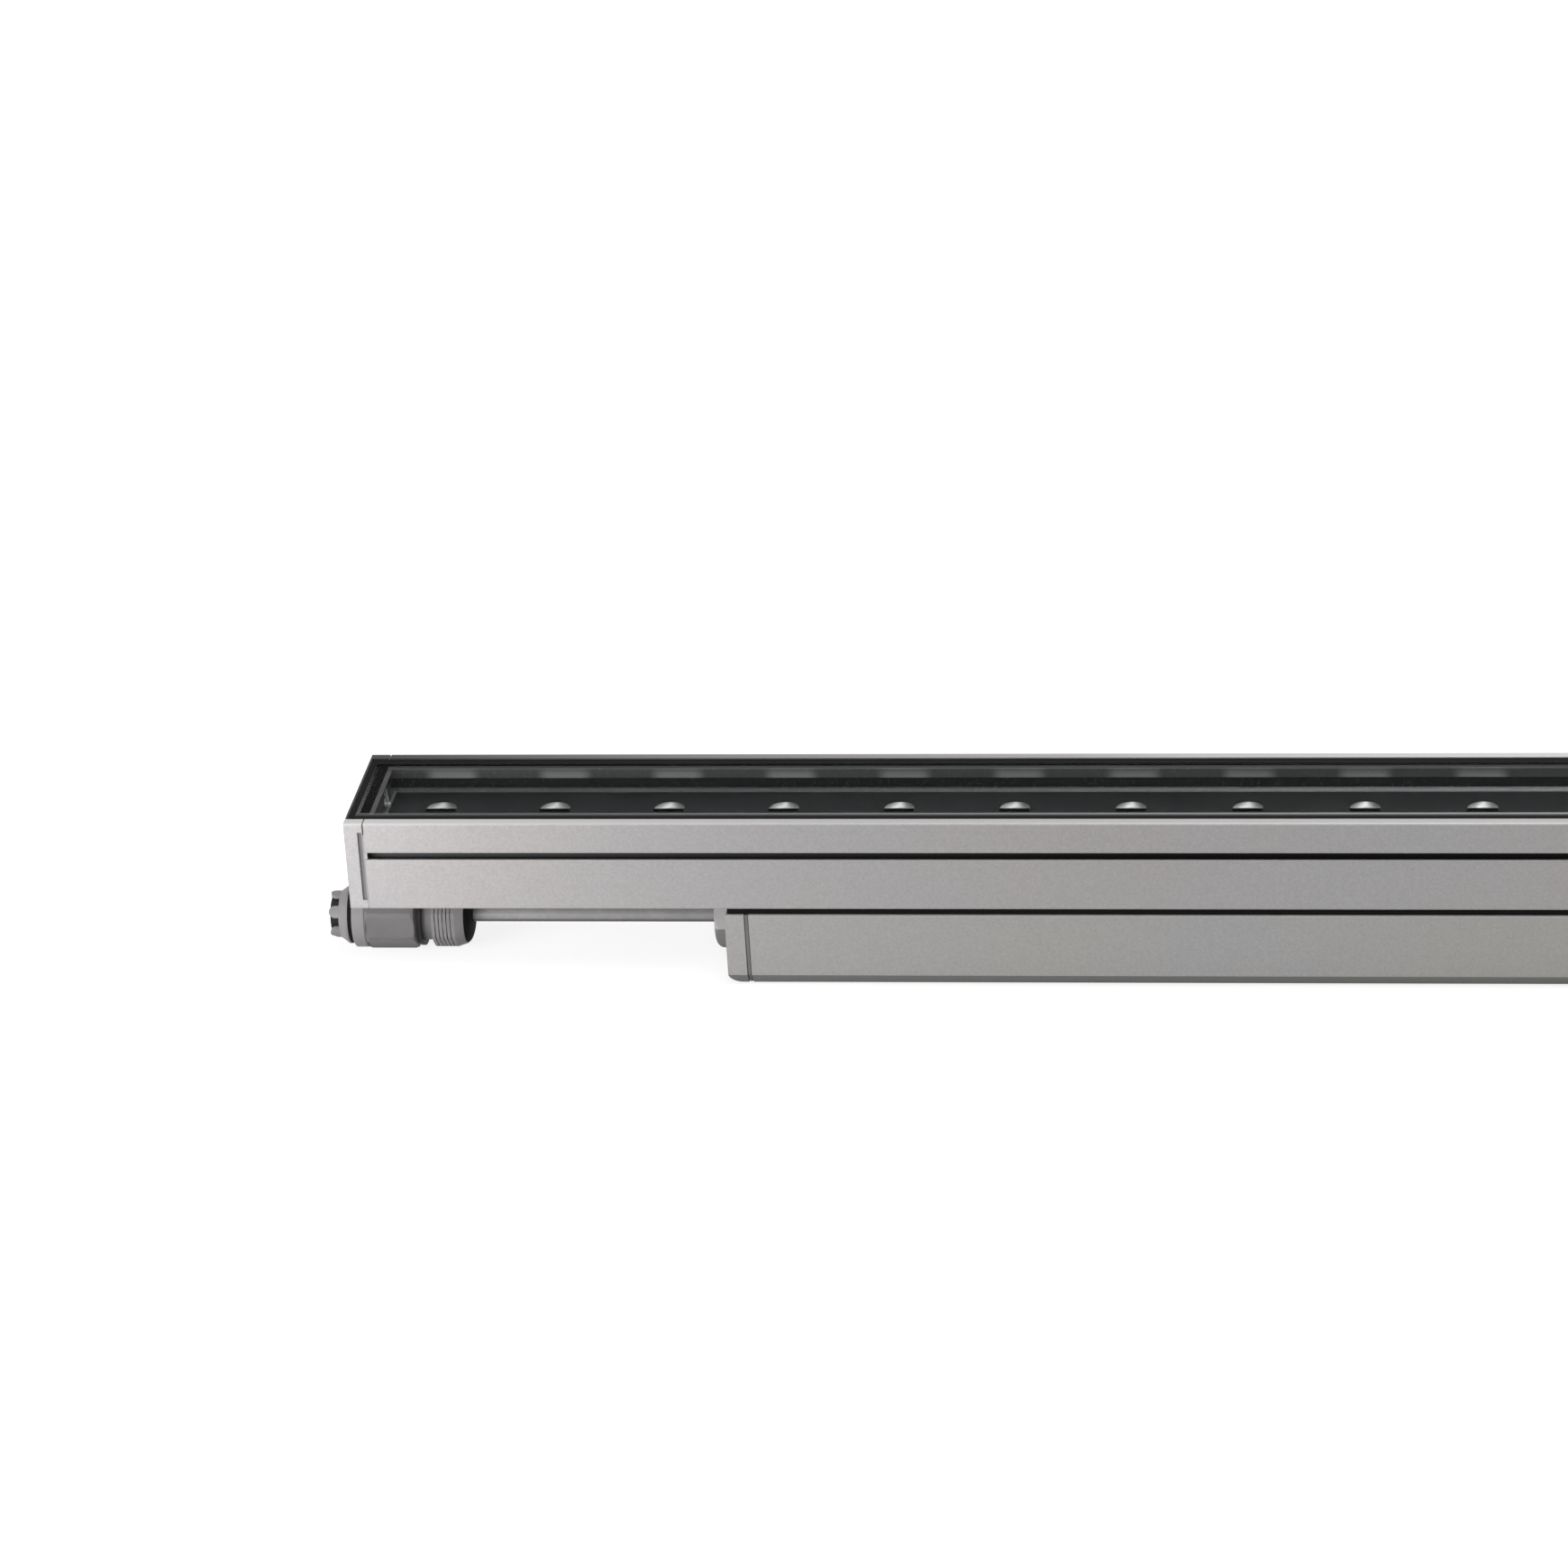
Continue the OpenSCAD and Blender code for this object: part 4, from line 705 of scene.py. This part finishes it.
# the box's end gaskets bulge a little out of their joints, foot and bevels too
def gasketCrown(name, node):
    crown = {"bulge": 0.7, "cuts": 6, "bevelHeight": box["footHeight"], "bevelDepth": 0.0045}
    low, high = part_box(node)
    depth = low.z  # how far the gasket lies inside the box's faces
    loops = []
    for k in range(crown["cuts"] + 1):
        t = k / crown["cuts"]
        grow = depth * crown["bulge"] * (1 - (2 * t - 1) ** 4)
        x = low.x + (high.x - low.x) * t
        side, foot, top = high.y + grow, low.z - grow, high.z + grow
        bevelTop, bevelIn = foot + crown["bevelHeight"], side - crown["bevelDepth"]
        loops.append([(x, -bevelIn, foot), (x, bevelIn, foot), (x, side, bevelTop),
                      (x, side, top), (x, -side, top), (x, -side, bevelTop)])
    verts, faces = loft(loops)
    return meshPiece(name, verts, faces, boxRubber, smooth=False)


gasketCrown("gasketCrownLeft", "driver_gasket_left")
gasketCrown("gasketCrownRight", "driver_gasket_right")


# two thin leads from the feed terminal up to the end baffle's lip
def feedLeads():
    leads = {"radius": 0.0003, "spread": 0.0007, "bow": 0.0008, "tone": (0.5, 0.5, 0.48),
             "startIn": 0.0013, "startUp": 0.0011, "fan": 0.0012, "rise": 0.0014, "drop": 0.0030,
             "wallGap": 0.0001, "topGap": 0.0009, "steps": 18}
    low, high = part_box("feed_terminal")
    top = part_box("end_baffle_left")[1].z - leads["topGap"]
    mat = moulded("leadSleeve", {**terminal, "tone": leads["tone"]})
    midY = (low.y + high.y) / 2
    for k, side in enumerate((-1, 1)):
        y = midY + side * leads["spread"]
        start = Vector((low.x + leads["startIn"], y, low.z + leads["startUp"]))
        end = Vector((low.x + leads["radius"] + leads["wallGap"], y + side * leads["fan"], top))
        path = bezier(start, start + Vector((leads["bow"], 0, leads["rise"])),
                      end - Vector((0, 0, leads["drop"])), end, leads["steps"])
        verts, faces = wireTube(path, leads["radius"])
        meshPiece("feedLead" + str(k + 1), verts, faces, mat)


feedLeads()
print("small pieces done")


# shows to the eye, to metal and to glass as white, and lights the object at its own plain level
def seenDirectly(tree):
    path = tree.nodes.new("ShaderNodeLightPath")
    direct = sums(tree, "MAXIMUM", path.outputs["Is Camera Ray"], path.outputs["Is Glossy Ray"])
    return sums(tree, "MAXIMUM", direct, path.outputs["Is Transmission Ray"])


def paperFloor():
    ground = {"tone": (0.45, 0.45, 0.45), "shade": (0.43, 0.43, 0.43), "paperScale": 3,
              "rough": 0.9, "shine": 0.1, "lift": 0.8, "half": 14, "steps": 12, "level": -0.0003}
    half, steps = ground["half"], ground["steps"]
    verts = [(-half + 2 * half * i / steps, -half + 2 * half * j / steps, ground["level"])
             for j in range(steps + 1) for i in range(steps + 1)]
    row = steps + 1
    faces = [(j * row + i, j * row + i + 1, (j + 1) * row + i + 1, (j + 1) * row + i)
             for j in range(steps) for i in range(steps)]
    mesh = bpy.data.meshes.new("studioFloor")
    mesh.from_pydata(verts, [], faces)
    floor = bpy.data.objects.new("studioFloor", mesh)
    bpy.context.scene.collection.objects.link(floor)
    mat, tree, bsdf, out = blankMaterial("paperFloor")
    paper = noise(tree, objectSpace(tree), ground["paperScale"])
    tree.links.new(mixColor(tree, remap(tree, paper, 0, 1), ground["tone"], ground["shade"]),
                   bsdf.inputs["Base Color"])
    bsdf.inputs["Roughness"].default_value = ground["rough"]
    bsdf.inputs["Specular IOR Level"].default_value = ground["shine"]
    bsdf.inputs["Emission Color"].default_value = (1, 1, 1, 1)
    tree.links.new(sums(tree, "MULTIPLY", seenDirectly(tree), ground["lift"]),
                   bsdf.inputs["Emission Strength"])
    floor.data.materials.append(mat)


def paperSky():
    sky = {"seen": 1.0, "ambient": 0.20, "color": (0.98, 0.99, 1)}
    world = bpy.data.worlds.new("studioSky")
    bpy.context.scene.world = world
    world.use_nodes = True
    tree = world.node_tree
    tree.nodes.clear()
    out = tree.nodes.new("ShaderNodeOutputWorld")
    seen = tree.nodes.new("ShaderNodeBackground")
    seen.inputs["Strength"].default_value = sky["seen"]
    seen.inputs["Color"].default_value = (1, 1, 1, 1)
    ambient = tree.nodes.new("ShaderNodeBackground")
    ambient.inputs["Color"].default_value = (*sky["color"], 1)
    ambient.inputs["Strength"].default_value = sky["ambient"]
    tree.links.new(mixShader(tree, seenDirectly(tree), ambient.outputs["Background"],
                             seen.outputs["Background"]), out.inputs["Surface"])


def softLamps():
    lamps = {
        "keyLight": {"at": (-0.60, -0.25, 0.10), "to": (-0.40, 0, 0.05), "size": (0.22, 0.10),
                     "power": 0.75, "color": (0.985, 0.96, 1)},
        "topLight": {"at": (0.45, 0.25, 2.2), "to": (0.45, 0.25, 0), "size": (1.6, 0.8),
                     "power": 40, "color": (0.99, 0.99, 1)},
        "frontLight": {"at": (0.55, -0.95, 2.0), "to": (0.1, 0, 0.05), "size": (1.6, 0.8),
                       "power": 15, "color": (1, 0.995, 0.98)},
        "lowLight": {"at": (-0.3, -2.2, 0.75), "to": (-0.1, 0, 0.03), "size": (1.5, 0.5),
                     "power": 3.5, "color": (1, 0.995, 0.98)},
    }
    for name, lamp in lamps.items():
        data = bpy.data.lights.new(name, "AREA")
        data.shape = "RECTANGLE"
        data.size, data.size_y = lamp["size"]
        data.energy = lamp["power"]
        data.color = lamp["color"]
        obj = bpy.data.objects.new(name, data)
        bpy.context.scene.collection.objects.link(obj)
        obj.location = lamp["at"]
        aim = Vector(lamp["to"]) - Vector(lamp["at"])
        obj.rotation_euler = aim.to_track_quat("-Z", "Y").to_euler()
        obj.visible_camera = False


paperFloor()
paperSky()
softLamps()


# the camera stands right of the light's left half and looks down at 25 degrees
def photoCamera():
    shot = {"at": (0.1474, -2.7281, 1.3398), "aim": (-0.27347, 0, 0.07918),
            "roll": -0.0651, "lens": 162.25, "sensor": 36, "near": 0.05, "far": 60}
    data = bpy.data.cameras.new("photoCamera")
    data.lens = shot["lens"]
    data.sensor_width = shot["sensor"]
    data.clip_start, data.clip_end = shot["near"], shot["far"]
    cam = bpy.data.objects.new("photoCamera", data)
    bpy.context.scene.collection.objects.link(cam)
    look = (Vector(shot["aim"]) - Vector(shot["at"])).normalized()
    side = look.cross(Vector((0, 0, 1))).normalized()
    rise = side.cross(look)
    c, s = math.cos(shot["roll"]), math.sin(shot["roll"])
    right = side * c + rise * s
    up = rise * c - side * s
    turn = Matrix((right, up, -look)).transposed()
    cam.matrix_world = Matrix.Translation(Vector(shot["at"])) @ turn.to_4x4()
    bpy.context.scene.camera = cam


photoCamera()
bpy.context.scene.view_settings.view_transform = "Standard"
print("studio done")
